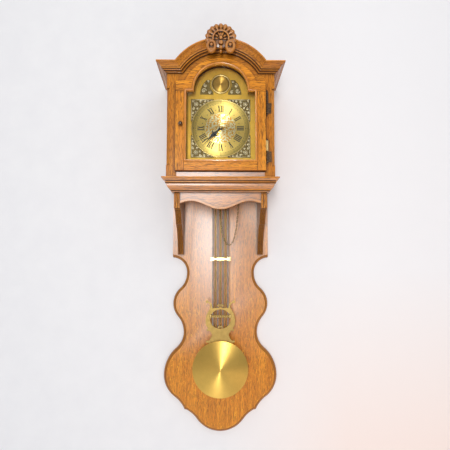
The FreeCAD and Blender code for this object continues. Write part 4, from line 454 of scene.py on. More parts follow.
dress(spun_brass("boss", (0.74, 0.44, 0.10), boss_centre, rim=(0.019, 0.0245, 0.85)),
      "dial_boss")
dress(spun_brass("bob", (0.85, 0.54, 0.125), bob_centre, rough=0.36, lean=(-0.09, 0.0, 0.0),
                 patina=0.12), "pendulum_bob")
dress(steel("steel_drawn", (0.40, 0.38, 0.34)),
      "anchor", "pendulum_suspension", "pendulum_rods_steel")
dress(steel("iron_plate", (0.18, 0.17, 0.16), 0.5), "hanger_plate", "hanger_screws")
dress(black_lacquer("hand_black"), "minute_hand", "hour_hand")
dress(aged_bronze("bronze_dark", bright=LOWER_HINGE_BRIGHT),
      "door_knob", "hinge_case_leaves", "hinge_door_leaves")
dress(pane("door_pane"), "door_glass")


# Shapes worked out in mesh code


class Shape:
    """A mesh built up from tubes, balls and flat slabs. Outlines lie in X and Z."""

    def __init__(self):
        self.points = []
        self.faces = []

    def loop_strip(self, rings, closed=False):
        """Joins rings of equal length with quads and closes open ends."""
        start = len(self.points)
        count = len(rings[0])
        for ring in rings:
            self.points.extend(ring)
        last = len(rings) if closed else len(rings) - 1
        for index in range(last):
            here = start + index * count
            there = start + (index + 1) % len(rings) * count
            for step in range(count):
                after = (step + 1) % count
                self.faces.append((here + step, here + after, there + after, there + step))
        if not closed:
            end = start + (len(rings) - 1) * count
            self.faces.append(tuple(start + step for step in reversed(range(count))))
            self.faces.append(tuple(end + step for step in range(count)))

    def tube(self, path, radii, deep=1.0, sides=8, closed=False):
        """A round bar along a path of steady depth. Deep scales it along Y."""
        rings = []
        for index, place in enumerate(path):
            before = path[index - 1] if closed or index else place
            after = path[(index + 1) % len(path)] if closed or index + 1 < len(path) else place
            along = (after - before).normalized()
            across = Vector((along.z, 0.0, -along.x)).normalized()
            radius = radii[index] if isinstance(radii, list) else radii
            rings.append([
                place + radius * (math.cos(turn) * across + deep * math.sin(turn) * DEPTH)
                for turn in turns(sides)])
        self.loop_strip(rings, closed)

    def ball(self, centre, wide, high, deep, turn=0.0, sides=14, levels=8):
        """An ellipsoid, turned clockwise in the picture."""
        rings = []
        for step in range(1, levels):
            tilt = math.pi * step / levels
            ring = []
            for around in turns(sides):
                x = wide * math.sin(tilt) * math.cos(around)
                z = high * math.cos(tilt)
                ring.append(centre + Vector((
                    x * math.cos(turn) + z * math.sin(turn),
                    deep * math.sin(tilt) * math.sin(around),
                    z * math.cos(turn) - x * math.sin(turn))))
            rings.append(ring)
        self.loop_strip(rings)

    def slab(self, outline, back, front):
        """A flat plate with a given outline of (x, z) points."""
        self.loop_strip([[Vector((x, back, z)) for x, z in outline],
                         [Vector((x, front, z)) for x, z in outline]])

    def mesh(self, name):
        made = bpy.data.meshes.new(name)
        made.from_pydata(self.points, [], self.faces)
        tidy = bmesh.new()
        tidy.from_mesh(made)
        bmesh.ops.recalc_face_normals(tidy, faces=tidy.faces)
        tidy.to_mesh(made)
        tidy.free()
        return made


def add_piece(name, form, material, body, replaced=None, smooth=True):
    """Puts a shape or a finished mesh on the body that carries it."""
    mesh = form.mesh(name) if isinstance(form, Shape) else form
    mesh.materials.clear()
    mesh.materials.append(material)
    mesh.polygons.foreach_set("use_smooth", [smooth] * len(mesh.polygons))
    piece = new_object(name, mesh)
    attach(piece, body)
    if replaced:
        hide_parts(replaced)
    return mesh


def at(x, y, z):
    """A point given in millimetres."""
    return Vector((x, y, z)) * MM


def ring_path(centre, radius, steps, y, start=0.0, sweep=math.tau, high=None):
    """Points clockwise from straight up on a circle, or on an oval where high is given."""
    closed = sweep == math.tau
    count = steps if closed else steps + 1
    return [Vector((centre.x + radius * math.sin(start + sweep * index / steps), y,
                    centre.z + (high or radius) * math.cos(start + sweep * index / steps)))
            for index in range(count)]


# Dial: numerals, minute track, rims and cast ornaments

NUMERALS = ["XII", "I", "II", "III", "IIII", "V", "VI", "VII", "VIII", "IX", "X", "XI"]
NUMERAL_LOW = 48 * MM
NUMERAL_HIGH = 67 * MM
THICK_STROKE = 2.7 * MM
THIN_STROKE = 1.2 * MM
SERIF = 0.8 * MM
LETTER_WIDTHS = {"I": 4.6 * MM, "V": 9.0 * MM, "X": 9.0 * MM}
# Head and foot of each stroke as shares of the letter's width, with its thickness
LETTER_STROKES = {
    "I": [(0.5, 0.5, THICK_STROKE)],
    "V": [(0.22, 0.5, THICK_STROKE), (0.85, 0.5, THIN_STROKE)],
    "X": [(0.22, 0.78, THICK_STROKE), (0.82, 0.18, THIN_STROKE)],
}
INLAY_DEPTH = 0.10 * MM
HALF_HOUR_RADIUS = 55 * MM
HALF_HOUR_DIAMOND = [(0.0, -1.8), (1.1, 0.0), (0.0, 1.8), (-1.1, 0.0)]
TRACK_RADII = (71.5 * MM, 74.5 * MM)
TRACK_LINE = 0.35 * MM
TRACK_STEPS = 120
MINUTE_WIDTH = 1.4 * TRACK_LINE
FIFTH_MINUTE_WIDTH = 3 * TRACK_LINE
MINUTE_NUMBER_RADIUS = 78.6 * MM
MINUTE_NUMBER_SIZE = 5.2 * MM


def on_dial(angle, out, along):
    """A place on the dial: out from the centre at a clockwise angle, then along it."""
    return (ring_centre.x + out * math.sin(angle) + along * math.cos(angle),
            ring_centre.z + out * math.cos(angle) - along * math.sin(angle))


def dial_bar(shape, angle, start, end, width, back, front):
    """A bar between two places (along, out) seen from one hour's direction."""
    (first_along, first_out), (last_along, last_out) = start, end
    half = width / 2
    corners = [(first_along - half, first_out), (first_along + half, first_out),
               (last_along + half, last_out), (last_along - half, last_out)]
    shape.slab([on_dial(angle, out, along) for along, out in corners], back, front)


def make_numerals():
    back = front_of("chapter_ring")
    front = back - INLAY_DEPTH
    shape = Shape()
    for angle, text in zip(turns(len(NUMERALS)), NUMERALS):
        left = -sum(LETTER_WIDTHS[letter] for letter in text) / 2
        for letter in text:
            width = LETTER_WIDTHS[letter]
            for head_share, foot_share, stroke in LETTER_STROKES[letter]:
                head = (left + width * head_share, NUMERAL_HIGH)
                foot = (left + width * foot_share, NUMERAL_LOW)
                dial_bar(shape, angle, foot, head, stroke, back, front)
                for along, out in (head, foot):
                    reach = stroke / 2 + THIN_STROKE
                    dial_bar(shape, angle, (along, out - SERIF / 2), (along, out + SERIF / 2),
                             2 * reach, back, front)
            left += width
    for angle in turns(2 * len(NUMERALS))[1::2]:
        shape.slab([on_dial(angle, HALF_HOUR_RADIUS + out * MM, along * MM)
                    for along, out in HALF_HOUR_DIAMOND], back, front)
    for radius in TRACK_RADII:
        path = ring_path(ring_centre, radius, TRACK_STEPS, back)
        shape.tube(path, TRACK_LINE / 2, deep=0.5, sides=6, closed=True)
    low, high = TRACK_RADII
    for minute, angle in enumerate(turns(60)):
        width = MINUTE_WIDTH if minute % 5 else FIFTH_MINUTE_WIDTH
        dial_bar(shape, angle, (0.0, low), (0.0, high), width, back, front)
    add_piece("dial_numerals", shape, numeral_black, "case",
              smooth=False)


def make_minute_numbers():
    """Plain figures at every fifth minute outside the track."""
    front = front_of("chapter_ring") - INLAY_DEPTH
    for step, angle in enumerate(turns(12)):
        text = bpy.data.curves.new(f"minute_figure_{step}", "FONT")
        text.body = str(step * 5 or 60)
        text.size = MINUTE_NUMBER_SIZE
        text.align_x = "CENTER"
        text.align_y = "CENTER"
        text.extrude = INLAY_DEPTH
        text.materials.append(numeral_black)
        figure = new_object(f"minute_figure_{step}", text)
        x, z = on_dial(angle, MINUTE_NUMBER_RADIUS, 0.0)
        figure.matrix_world = (Matrix.Translation((x, front + INLAY_DEPTH, z))
                               @ Matrix.Rotation(angle, 4, "Y")
                               @ Matrix.Rotation(math.radians(90), 4, "X"))
        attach(figure, "case")


# Centre, radius, thickness and the node in front of which each rim lies
RIMS = [
    (ring_centre, ring_radius + 0.6 * MM, 1.1 * MM, "chapter_ring"),
    (ring_centre, disc_radius + 0.2 * MM, 0.5 * MM, "chapter_ring"),
    (boss_centre, boss_radius - 1.5 * MM, 1.9 * MM, "dial_boss"),
]
RIM_SET_IN = 0.3 * MM
RIM_STEPS = 96


def make_rims():
    """Bright half-round rims of the chapter ring, the centre disc and the boss."""
    shape = Shape()
    for centre, radius, thickness, node in RIMS:
        path = ring_path(centre, radius, RIM_STEPS, front_of(node) + RIM_SET_IN)
        shape.tube(path, thickness, deep=0.7, sides=10, closed=True)
    add_piece("dial_rims", shape, rim_brass, "case")


SPIRAL_TURNS = 1.15
SPIRAL_STEPS = 22
SPIRAL_CLOSING = 0.74
SPIRAL_TAPER = 0.4
PEARL_SHARE = 1.25


def spiral(shape, centre, radius, start, hand, stem):
    """A stem that winds inward and ends in a pearl."""
    points, radii = [], []
    for index in range(SPIRAL_STEPS + 1):
        share = index / SPIRAL_STEPS
        reach = radius * (1.0 - SPIRAL_CLOSING * share)
        angle = start + hand * math.tau * SPIRAL_TURNS * share
        points.append(centre + reach * Vector((math.cos(angle), 0.0, math.sin(angle))))
        radii.append(stem * (1.0 - SPIRAL_TAPER * share))
    shape.tube(points, radii, sides=6)
    pearl = stem * PEARL_SHARE
    shape.ball(centre, pearl, pearl, pearl, sides=8, levels=6)


# Scrolls of a corner, in millimetres in from its outer corner, with their radii
SPANDREL_OUTER = 86.5
CORNER_KNOB = (14.5, 14.5, 7.6)
CORNER_SCROLLS = [(28.0, 6.6, 6.0), (40.0, 5.6, 5.2), (50.2, 4.4, 4.2), (59.0, 3.2, 3.0),
                  (27.0, 18.0, 4.6), (37.5, 13.5, 3.4)]
CORNER_CURL = (5.2, 5.2, 3.8)
CORNER_RIB = [(2.0, 2.0), (20.0, 1.6), (40.0, 1.4), (64.0, 1.3)]
# Scrolls beside the boss, in millimetres from the arch's centre, which is this far up
ARCH_CENTRE_ABOVE_DIAL = 100.0
ARCH_SCROLLS = [(49.5, 12.0, 9.0), (33.0, 8.0, 6.5), (44.5, 28.0, 7.5), (36.5, 40.0, 5.0)]
SPANDREL_STEM = 1.75 * MM
GROUND_SHARE = 0.3


PETALS = 8
PETAL_RING_SHARE = 0.68
KNOB_DEPTH = 2.6 * MM
PETAL_DEPTH = 1.6 * MM


def make_rosette(shape, centre, radius):
    """A domed knob in a ring of petals."""
    shape.ball(centre, radius * 0.46, radius * 0.46, KNOB_DEPTH)
    for angle in turns(PETALS):
        place = centre + PETAL_RING_SHARE * radius * toward(angle)
        shape.ball(place, radius * 0.24, radius * 0.34, PETAL_DEPTH, turn=angle, sides=8, levels=6)


def make_spandrels():
    """Cast scrollwork on a dark ground in the corners and in the arch."""
    low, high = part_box("dial_spandrels")
    ground = nodes["dial_spandrels"].data.copy()
    for point in ground.vertices:
        point.co.y = high[1] + (point.co.y - high[1]) * GROUND_SHARE
    add_piece("dial_spandrel_ground", ground, spandrel_ground, "case",
              replaced="dial_spandrels", smooth=False)
    relief = low[1] + SPANDREL_STEM
    shape = Shape()
    for side in (-1, 1):
        for up in (-1, 1):
            corner = ring_centre + Vector((side, 0.0, up)) * SPANDREL_OUTER * MM

            def place(across, down):
                x = corner.x - side * across * MM
                return Vector((x, relief, corner.z - up * down * MM))

            make_rosette(shape, place(*CORNER_KNOB[:2]), CORNER_KNOB[2] * MM)
            spiral(shape, place(*CORNER_CURL[:2]), CORNER_CURL[2] * MM, 0.8, side * up,
                   SPANDREL_STEM)
            for index, (across, down, radius) in enumerate(CORNER_SCROLLS):
                hand = side * up * (1 if index % 2 else -1)
                start = index * 1.3
                reach = radius * MM - SPANDREL_STEM
                spiral(shape, place(across, down), reach, start, hand, SPANDREL_STEM)
                spiral(shape, place(down, across), reach, start + 1.6, -hand, SPANDREL_STEM)
            for swap in (False, True):
                path = [place(down, across) if swap else place(across, down)
                        for across, down in CORNER_RIB]
                shape.tube(path, SPANDREL_STEM * 0.6, sides=6)
        for index, (across, up, radius) in enumerate(ARCH_SCROLLS):
            place = Vector((ring_centre.x + side * across * MM, relief,
                            ring_centre.z + (ARCH_CENTRE_ABOVE_DIAL + up) * MM))
            spiral(shape, place, radius * MM - SPANDREL_STEM, 0.9 * index,
                   side * (1 if index % 2 else -1), SPANDREL_STEM)
            make_rosette(shape, place, radius * MM * 0.45)
    add_piece("dial_spandrel_scrolls", shape, cast_brass, "case")


# Radius of each row, reach of its scrolls, their number and their stem
ENGRAVING_ROWS = [(31.0, 8.0, 10, 0.5), (17.0, 5.5, 8, 0.45)]


def make_engraving():
    """Low scrollwork around the middle of the centre disc."""
    shape = Shape()
    y = front_of("dial_centre_disc")
    for radius, reach, count, stem in ENGRAVING_ROWS:
        for index, angle in enumerate(turns(count)):
            x, z = on_dial(angle, radius * MM, 0.0)
            spiral(shape, Vector((x, y, z)), reach * MM, angle, 1 if index % 2 else -1, stem * MM)
    add_piece("dial_engraving", shape, rim_brass, "case")


# Carved crest: a ribbed shell over two volutes with a husk of beads between them. All in
# millimetres. A form's size is its half width, half height and half depth, and how far it
# stands proud is counted from the ground of the carving.

SHELL_CENTRE = (0.0, 98.0)
SHELL_GROUND = (42.0, 34.5, 5.0)
GROUND_DEPTH_SHARE = 0.66
SPINE_DROPS = (0, 20, 38)
SPINE_RADIUS = 4.0
SHELL_RIBS = 11
SHELL_SWEEP = math.radians(96)
RIB_START = 24.0
RIB_END = 38.0
RIB_PROUD = 3.0
RIB_STEPS = 8
RIB_THIN = 3.0
RIB_SWELL = 2.8
RIB_TIP = (6.9, 7.4, 5.6)
RIM_RADIUS = 22.0
RIM_THICKNESS = 2.7
RIM_PROUD = 8.0
RIM_SWEEP = math.radians(208)
VOLUTE_PLACE = (26.4, 75.5)
VOLUTE_SIZE = (10.2, 14.4)
VOLUTE_THICKNESS = 4.9
VOLUTE_PROUD = 5.0
# How far proud and how far above the volute's middle, then the size
VOLUTE_LOBES = [(2.0, 0.0, 9.0, 12.0, 4.5), (4.0, -11.0, 11.0, 8.4, 7.4), (6.5, 3.6, 4.5, 5.2, 7.4)]
# Tilt in degrees, distance from the shell's centre, and size
LEAVES = [(24, 12.5, 5.8), (60, 13.0, 5.4), (98, 12.0, 4.8)]
LEAF_PROUD = 6.0
LEAF_DEPTH = 4.6
# Place across, how far proud, height and radius along each wing
WING = [(42.0, 3.0, 88, 1.6), (34.0, 3.0, 93, 3.0), (24.0, 4.0, 93, 3.0), (14.0, 4.0, 89, 2.0)]
# How far proud and the height, then the size
HUSK_BEADS = [(6.0, 99.5, 5.4, 6.0, 6.6), (6.0, 110.5, 3.6, 4.4, 4.6), (5.5, 86.0, 6.6, 6.4, 8.1),
              (5.5, 72.0, 5.0, 5.6, 6.5), (5.5, 61.0, 3.8, 4.4, 5.3)]
CREST_VOXEL = 0.55 * MM
CREST_SMOOTHING = 2


def crest_rib(shape, centre, angle):
    """A rib of the shell that swells outward and ends in a rounded tip."""
    shares = [step / RIB_STEPS for step in range(RIB_STEPS + 1)]
    path = [centre + toward(angle) * (RIB_START + (RIB_END - RIB_START) * share) * MM
            for share in shares]
    shape.tube(path, [(RIB_THIN + RIB_SWELL * share) * MM for share in shares], sides=14)
    tip = centre + toward(angle) * RIB_END * MM
    shape.ball(tip, *(half * MM for half in RIB_TIP), turn=angle)


def crest_shape(back, front):
    """All forms of the carving, before they are melted into one."""
    shape = Shape()
    x, z = SHELL_CENTRE
    ground = (back * GROUND_DEPTH_SHARE + front * (1 - GROUND_DEPTH_SHARE)) / MM

    def lobe(across, proud, up, size, **detail):
        shape.ball(at(across, ground - proud, up), *(half * MM for half in size), **detail)

    lobe(x, -1.0, z + 10, SHELL_GROUND, sides=40, levels=20)
    shape.tube([at(x, ground, z - drop) for drop in SPINE_DROPS], SPINE_RADIUS * MM, sides=10)
    for index in range(SHELL_RIBS):
        angle = SHELL_SWEEP * (2 * index / (SHELL_RIBS - 1) - 1)
        crest_rib(shape, at(x, ground - RIB_PROUD, z), angle)
    rim = ring_path(at(x, 0, z), RIM_RADIUS * MM, 36, (ground - RIM_PROUD) * MM,
                    -RIM_SWEEP / 2, RIM_SWEEP)
    shape.tube(rim, RIM_THICKNESS * MM, deep=1.3, sides=10)
    for side in (-1, 1):
        across, up = VOLUTE_PLACE
        wide, high = VOLUTE_SIZE
        outer = ring_path(at(across * side, 0, up), wide * MM, 40,
                          (ground - VOLUTE_PROUD) * MM, high=high * MM)
        shape.tube(outer, VOLUTE_THICKNESS * MM, deep=1.25, sides=14, closed=True)
        for proud, rise, *size in VOLUTE_LOBES:
            lobe(across * side, proud, up + rise, size)
        for tilt, reach, size in LEAVES:
            angle = math.radians(tilt) * side
            leaf = at(x, ground - LEAF_PROUD, z) + toward(angle) * (reach * MM)
            shape.ball(leaf, size * 0.55 * MM, size * 1.15 * MM, LEAF_DEPTH * MM, turn=angle)
        wing = [at(side * out, ground - proud, height) for out, proud, height, _ in WING]
        shape.tube(wing, [radius * MM for *_, radius in WING], deep=1.5, sides=10)
    for proud, height, *size in HUSK_BEADS:
        lobe(x, proud, height, size)
    return shape.mesh("crest_forms")


def melted(mesh, voxel, smoothing):
    """One closed skin around overlapping forms."""
    holder = new_object("melt", mesh)
    remesh = holder.modifiers.new("melt", "REMESH")
    remesh.mode = "VOXEL"
    remesh.voxel_size = voxel
    smooth = holder.modifiers.new("soften", "SMOOTH")
    smooth.iterations = smoothing
    smooth.factor = 0.5
    graph = bpy.context.evaluated_depsgraph_get()
    made = bpy.data.meshes.new_from_object(holder.evaluated_get(graph))
    bpy.data.objects.remove(holder)
    return made


def held_in(mesh, low, high):
    """Keeps every point of a mesh inside a box."""
    for point in mesh.vertices:
        for axis in range(3):
            point.co[axis] = min(max(point.co[axis], low[axis]), high[axis])
    return mesh


def make_crest():
    low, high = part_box("crest_carving")
    mesh = melted(crest_shape(high[1], low[1]), CREST_VOXEL, CREST_SMOOTHING)
    add_piece("crest_carved", held_in(mesh, low, high), carved, "case",
              replaced="crest_carving")


# Rounded trims of the woodwork

SIGHT_WIDTH = 6.3 * MM
SIGHT_SHOULDER = -43.0 * MM
SIGHT_ARCH_CENTRE = -39.4 * MM
SIGHT_SECTION_SHARES = [(0.00, 1.00), (0.00, 0.20), (0.10, 0.06), (0.28, 0.00), (0.52, 0.01),
                        (0.74, 0.07), (0.90, 0.16), (1.00, 0.24), (1.00, 1.00)]
SIGHT_ARC_STEPS = 48


def sight_path(grow):
    """The door's glazed opening, grown outward by a width, clockwise from the lower left."""
    low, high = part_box("door_sight_moulding")
    half = high[0] - SIGHT_WIDTH + grow
    bottom = low[2] + SIGHT_WIDTH - grow
    shoulder = SIGHT_SHOULDER + grow
    radius = high[2] - SIGHT_WIDTH - SIGHT_ARCH_CENTRE + grow
    spring = math.asin((shoulder - SIGHT_ARCH_CENTRE) / radius)
    arc = []
    for step in range(SIGHT_ARC_STEPS + 1):
        angle = math.pi - spring - (math.pi - 2 * spring) * step / SIGHT_ARC_STEPS
        arc.append((radius * math.cos(angle), SIGHT_ARCH_CENTRE + radius * math.sin(angle)))
    return [(-half, bottom), (-half, shoulder)] + arc + [(half, shoulder), (half, bottom)]


def make_sight_moulding():
    """A rounded moulding around the glass."""
    low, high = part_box("door_sight_moulding")
    shape = Shape()
    rings = []
    for across, back in SIGHT_SECTION_SHARES:
        y = low[1] + (high[1] - low[1]) * back
        rings.append([Vector((x, y, z)) for x, z in sight_path(SIGHT_WIDTH * across)])
    shape.loop_strip(rings, closed=True)
    mesh = add_piece("door_sight_rounded", shape, sight_oak, "door",
                     replaced="door_sight_moulding")
    crease_smooth(mesh)


def crease_smooth(mesh, limit=math.radians(50)):
    """Smooth shading that stays sharp over steep edges."""
    mesh.polygons.foreach_set("use_smooth", [True] * len(mesh.polygons))
    mesh.set_sharp_from_angle(angle=limit)


APRON_MIDDLE = -364.4
APRON_WAVE = 12.0
APRON_WAVE_LENGTH = 170.0
APRON_BEAD = 3.5
APRON_BEAD_DEEP = 0.75
APRON_STEPS = 80


def make_apron_bead():
    """The half-round bead along the apron's waved edge."""
    low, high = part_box("apron_board")
    half = high[0] / MM
    path = []
    for index in range(APRON_STEPS + 1):
        x = half * (2 * index / APRON_STEPS - 1)
        wave = APRON_WAVE * math.cos(math.tau * x / APRON_WAVE_LENGTH)
        path.append(at(x, low[1] / MM + APRON_BEAD * APRON_BEAD_DEEP,
                       APRON_MIDDLE - wave + APRON_BEAD))
    shape = Shape()
    shape.tube(path, APRON_BEAD * MM, deep=APRON_BEAD_DEEP, sides=14)
    add_piece("apron_bead", shape, beaded, "case")


BOARD_EDGE = 9.0 * MM
BOARD_EDGE_TOP = -0.335
BOARD_EDGE_SEGMENTS = 6
BOARD_EDGE_PROFILE = 0.42
BOARD_EDGE_ANGLE = math.radians(60)


def make_board():
    """The tail board with a moulded edge all round its scrolled outline."""
    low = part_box("backboard")[0]
    tidy = bmesh.new()
    tidy.from_mesh(nodes["backboard"].data)
    bmesh.ops.remove_doubles(tidy, verts=tidy.verts, dist=0.00001)
    bmesh.ops.dissolve_limit(tidy, angle_limit=math.radians(0.5), verts=tidy.verts,
                             edges=tidy.edges)
    rim = [edge for edge in tidy.edges
           if all(abs(point.co.y - low[1]) < 0.0001 for point in edge.verts)
           and all(point.co.z < BOARD_EDGE_TOP for point in edge.verts)
           and len(edge.link_faces) == 2 and edge.calc_face_angle() > BOARD_EDGE_ANGLE]
    bmesh.ops.bevel(tidy, geom=rim, offset=BOARD_EDGE, offset_type="OFFSET", affect="EDGES",
                    segments=BOARD_EDGE_SEGMENTS, profile=BOARD_EDGE_PROFILE,
                    clamp_overlap=False, loop_slide=True, miter_outer="SHARP",
                    miter_inner="SHARP", material=1)
    mesh = bpy.data.meshes.new("backboard_moulded")
    tidy.to_mesh(mesh)
    tidy.free()
    materials_of = [face.material_index for face in mesh.polygons]
    add_piece("backboard_moulded", mesh, board, "case", replaced="backboard",
              smooth=False)
    mesh.materials.append(board_edge_painted_shade)
    mesh.polygons.foreach_set("material_index", materials_of)
    crease_smooth(mesh, math.radians(35))


def surface_of(name):
    """A node's faces, for casting rays onto them."""
    data = nodes[name].data
    return BVHTree.FromPolygons([tuple(point.co) for point in data.vertices],
                                [tuple(face.vertices) for face in data.polygons])


def struck(tree, x, z, start):
    """Where a ray from the front meets a node, or None."""
    return tree.ray_cast(Vector((x, start, z)), DEPTH)[0]


REED_ROWS = [
    ("bracket_reeds", (-5.0, 0.0, 5.0), 1.7, -379.0, -503.0),
    ("bracket_block_reeds", (-5.4, 0.0, 5.4), 2.3, -330.0, -373.5),
]
REED_STEPS = 40
REED_SIDES = 10
REED_DEEP = 0.8
# Rays for the outer reeds start a little inside the bracket's edges
REED_SPREAD_SHARE = 0.98
BRACKET_HALF_WIDTH = 8.5
RAY_DISTANCE = 0.01


def make_reeds():
    """Reeds down the hollow front and the upper block of each bracket."""
    tree = surface_of("brackets")
    low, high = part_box("brackets")
    for name, spreads, radius, top, bottom in REED_ROWS:
        shape = Shape()
        for side in (-1, 1):
            centre = side * (high[0] / MM - BRACKET_HALF_WIDTH)
            for spread in spreads:
                rings = []
                for index in range(REED_STEPS + 1):
                    z = top + (bottom - top) * index / REED_STEPS
                    x = centre + spread * REED_SPREAD_SHARE
                    hit = struck(tree, x * MM, z * MM, low[1] - RAY_DISTANCE)
                    rings.append([hit + radius * MM * Vector((
                        math.cos(turn), -REED_DEEP * math.sin(turn), 0.0))
                        for turn in turns(REED_SIDES)])
                shape.loop_strip(rings)
        wood = bracket_block if "block" in name else bracket_painted_shade_oak
        add_piece(name, shape, wood, "case")


CORNICE_INNER = 126.6
CORNICE_WIDTH = 32.4
CORNICE_ARCH_CENTRE = -50.5
CORNICE_BOTTOM = 15.0
CORNICE_HEIGHT = 27.0
# Out from the arch's inner edge, with the bead's radius
CORNICE_BEADS = [(2.0, 1.5), (7.6, 1.6), (30.4, 1.9)]
# Dark strips of painted shade in the cornice's grooves, placed the same way
CORNICE_QUIRKS = [(0.3, 1.2), (4.9, 1.6), (10.6, 1.6)]
# Heights on the shelf, with the bead's radius
SHELF_BEADS = [(-292.0, 1.9), (-303.6, 1.5), (-323.0, 1.6)]
# Dark strips of painted shade in the shelf's grooves
SHELF_QUIRKS = [(-300.6, 1.5), (-306.4, 1.3), (-326.2, 1.5)]
TRIM_STEP = 2.5


def trimmed(shape, trees, path, radius, start):
    """A bead that follows a path of (x, z) points over the front of some nodes."""
    places = []
    for x, z in path:
        hits = [hit for hit in (struck(tree, x * MM, z * MM, start) for tree in trees) if hit]
        if hits:
            places.append(min(hits, key=lambda hit: hit.y))
    shape.tube(places, radius * MM, deep=0.8, sides=8)


def cornice_line(offset, end):
    """Points along the straight cornice, over its arch and on to the other end."""
    reach = CORNICE_INNER + offset
    z = CORNICE_BOTTOM + offset * CORNICE_HEIGHT / CORNICE_WIDTH
    foot = math.sqrt(reach ** 2 - (z - CORNICE_ARCH_CENTRE) ** 2)
    spring = math.atan2(foot, z - CORNICE_ARCH_CENTRE)
    straight = max(2, int((end - foot) / TRIM_STEP))
    sweep = int(2 * spring * reach / TRIM_STEP)
    left = [(-end + (end - foot) * index / straight, z) for index in range(straight)]
    arc = [(reach * math.sin(angle), CORNICE_ARCH_CENTRE + reach * math.cos(angle))
           for angle in (spring * (2 * index / sweep - 1) for index in range(sweep + 1))]
    return left + arc + [(-x, up) for x, up in reversed(left)]


def shelf_line(z, end):
    count = int(2 * end / TRIM_STEP)
    return [(end * (2 * index / count - 1), z) for index in range(count + 1)]


def make_beads():
    """Thin beads along the cornice, over its arch and along the shelf, with dark strips of painted
    shade in their grooves.
    """
    start = cad_bounds[0][1] - RAY_DISTANCE
    cornice = [surface_of("cornice_arch"), surface_of("cornice_fronts")]
    shelf = [surface_of("shelf_moulding_front")]
    cornice_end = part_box("cornice_fronts")[1][0] / MM
    shelf_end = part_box("shelf_moulding_front")[1][0] / MM
    for name, wood, on_cornice, on_shelf in (
            ("moulding_beads", beaded, CORNICE_BEADS, SHELF_BEADS),
            ("moulding_quirks", dark_joint_and_painted_shade, CORNICE_QUIRKS, SHELF_QUIRKS)):
        shape = Shape()
        for offset, radius in on_cornice:
            trimmed(shape, cornice, cornice_line(offset, cornice_end), radius, start)
        for z, radius in on_shelf:
            trimmed(shape, shelf, shelf_line(z, shelf_end), radius, start)
        add_piece(name, shape, wood, "case")


JOINT_HALF = 0.55
JOINT_PROUD = 0.1
DOOR_SHADOW_WIDTH = 1.4


def make_door_joints():
    """Dark lines where the door's rails meet its stiles, and a painted shadow round the door."""
    arch_low, arch_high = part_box("door_arch_rail")
    rail_low, rail_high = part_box("door_bottom_rail")
    face = arch_low[1] / MM
    shape = Shape()

    def line(left, right, bottom, top, y):
        outline = [(left, bottom), (right, bottom), (right, top), (left, top)]
        shape.slab([(x * MM, z * MM) for x, z in outline], y * MM, (y - JOINT_PROUD) * MM)

    inner, outer = rail_high[0] / MM, arch_high[0] / MM
    shoulder, low, high = arch_low[2] / MM, rail_low[2] / MM, rail_high[2] / MM
    for side in (-1, 1):
        x = side * inner
        line(x - JOINT_HALF, x + JOINT_HALF, low, high, face)
        near, far = sorted((x, side * outer))
        line(near, far, shoulder - JOINT_HALF, shoulder + JOINT_HALF, face)
    add_piece("door_joints", shape, dark_joint_and_painted_shade, "door", smooth=False)
    # A dark strip on the hood's face beside and under the door: a painted shadow
    shape = Shape()
    back = front_of("hood_stiles") / MM
    line(-outer - DOOR_SHADOW_WIDTH, outer + DOOR_SHADOW_WIDTH, low - 2 * DOOR_SHADOW_WIDTH, low, back)
    for side in (-1, 1):
        near, far = sorted((side * outer, side * (outer + DOOR_SHADOW_WIDTH)))
        line(near, far, low, shoulder, back)
    add_piece("door_painted_shadow", shape, dark_joint_and_painted_shade, "case",
              smooth=False)


# Trims of the pendulum

LYRE_CROSSBAR = -690.9
LYRE_CROSSBAR_HALF = 29.0
LYRE_BEAD = 2.4
LYRE_BEADS = 9
LYRE_BEADED_SHARE = 0.82
LYRE_STEM = 1.7
LYRE_TOP_SCROLL = (6.6, -658.6, 6.0)
LYRE_LOW_SCROLL = (5.4, -721.8, 4.8)
LYRE_CUSP = (3.4, 7.5)
# Height, half width and half height of the drops between the scrolls
LYRE_DROPS = [(LYRE_TOP_SCROLL[1], 2.0, 5.0), (LYRE_LOW_SCROLL[1], 2.0, 4.0)]


def make_lyre_trim():
    """Beaded crossbar and two small pairs of scrolls on the lyre."""
    front = front_of("pendulum_lyre") / MM
    shape = Shape()
    for index in range(LYRE_BEADS):
        x = LYRE_CROSSBAR_HALF * (2 * index / (LYRE_BEADS - 1) - 1) * LYRE_BEADED_SHARE
        shape.ball(at(x, front, LYRE_CROSSBAR), LYRE_BEAD * MM, LYRE_BEAD * 1.6 * MM,
                   LYRE_BEAD * MM, sides=8, levels=6)
    for side in (-1, 1):
        wide, high = LYRE_CUSP
        shape.ball(at(side * LYRE_CROSSBAR_HALF, front, LYRE_CROSSBAR), wide * MM, high * MM,
                   LYRE_BEAD * MM, sides=10, levels=6)
        for across, up, radius in (LYRE_TOP_SCROLL, LYRE_LOW_SCROLL):
            spiral(shape, at(side * across, front, up), (radius - LYRE_STEM) * MM, math.pi / 2,
                   side, LYRE_STEM * MM)
    for up, wide, high in LYRE_DROPS:
        shape.ball(at(0, front, up), wide * MM, high * MM, LYRE_BEAD * MM, sides=10, levels=6)
    add_piece("pendulum_lyre_trim", shape, trim_brass, "pendulum")


# Upper right quarter of the bridge, across and up as shares of half its size
BRIDGE_SHARES = [(0.0, 1.0), (0.07, 0.60), (0.16, 0.42), (0.25, 0.78), (0.34, 0.42),
                 (0.62, 0.42), (0.71, 1.0), (0.80, 0.50), (0.90, 0.92), (1.0, 0.55), (0.90, 0.0)]


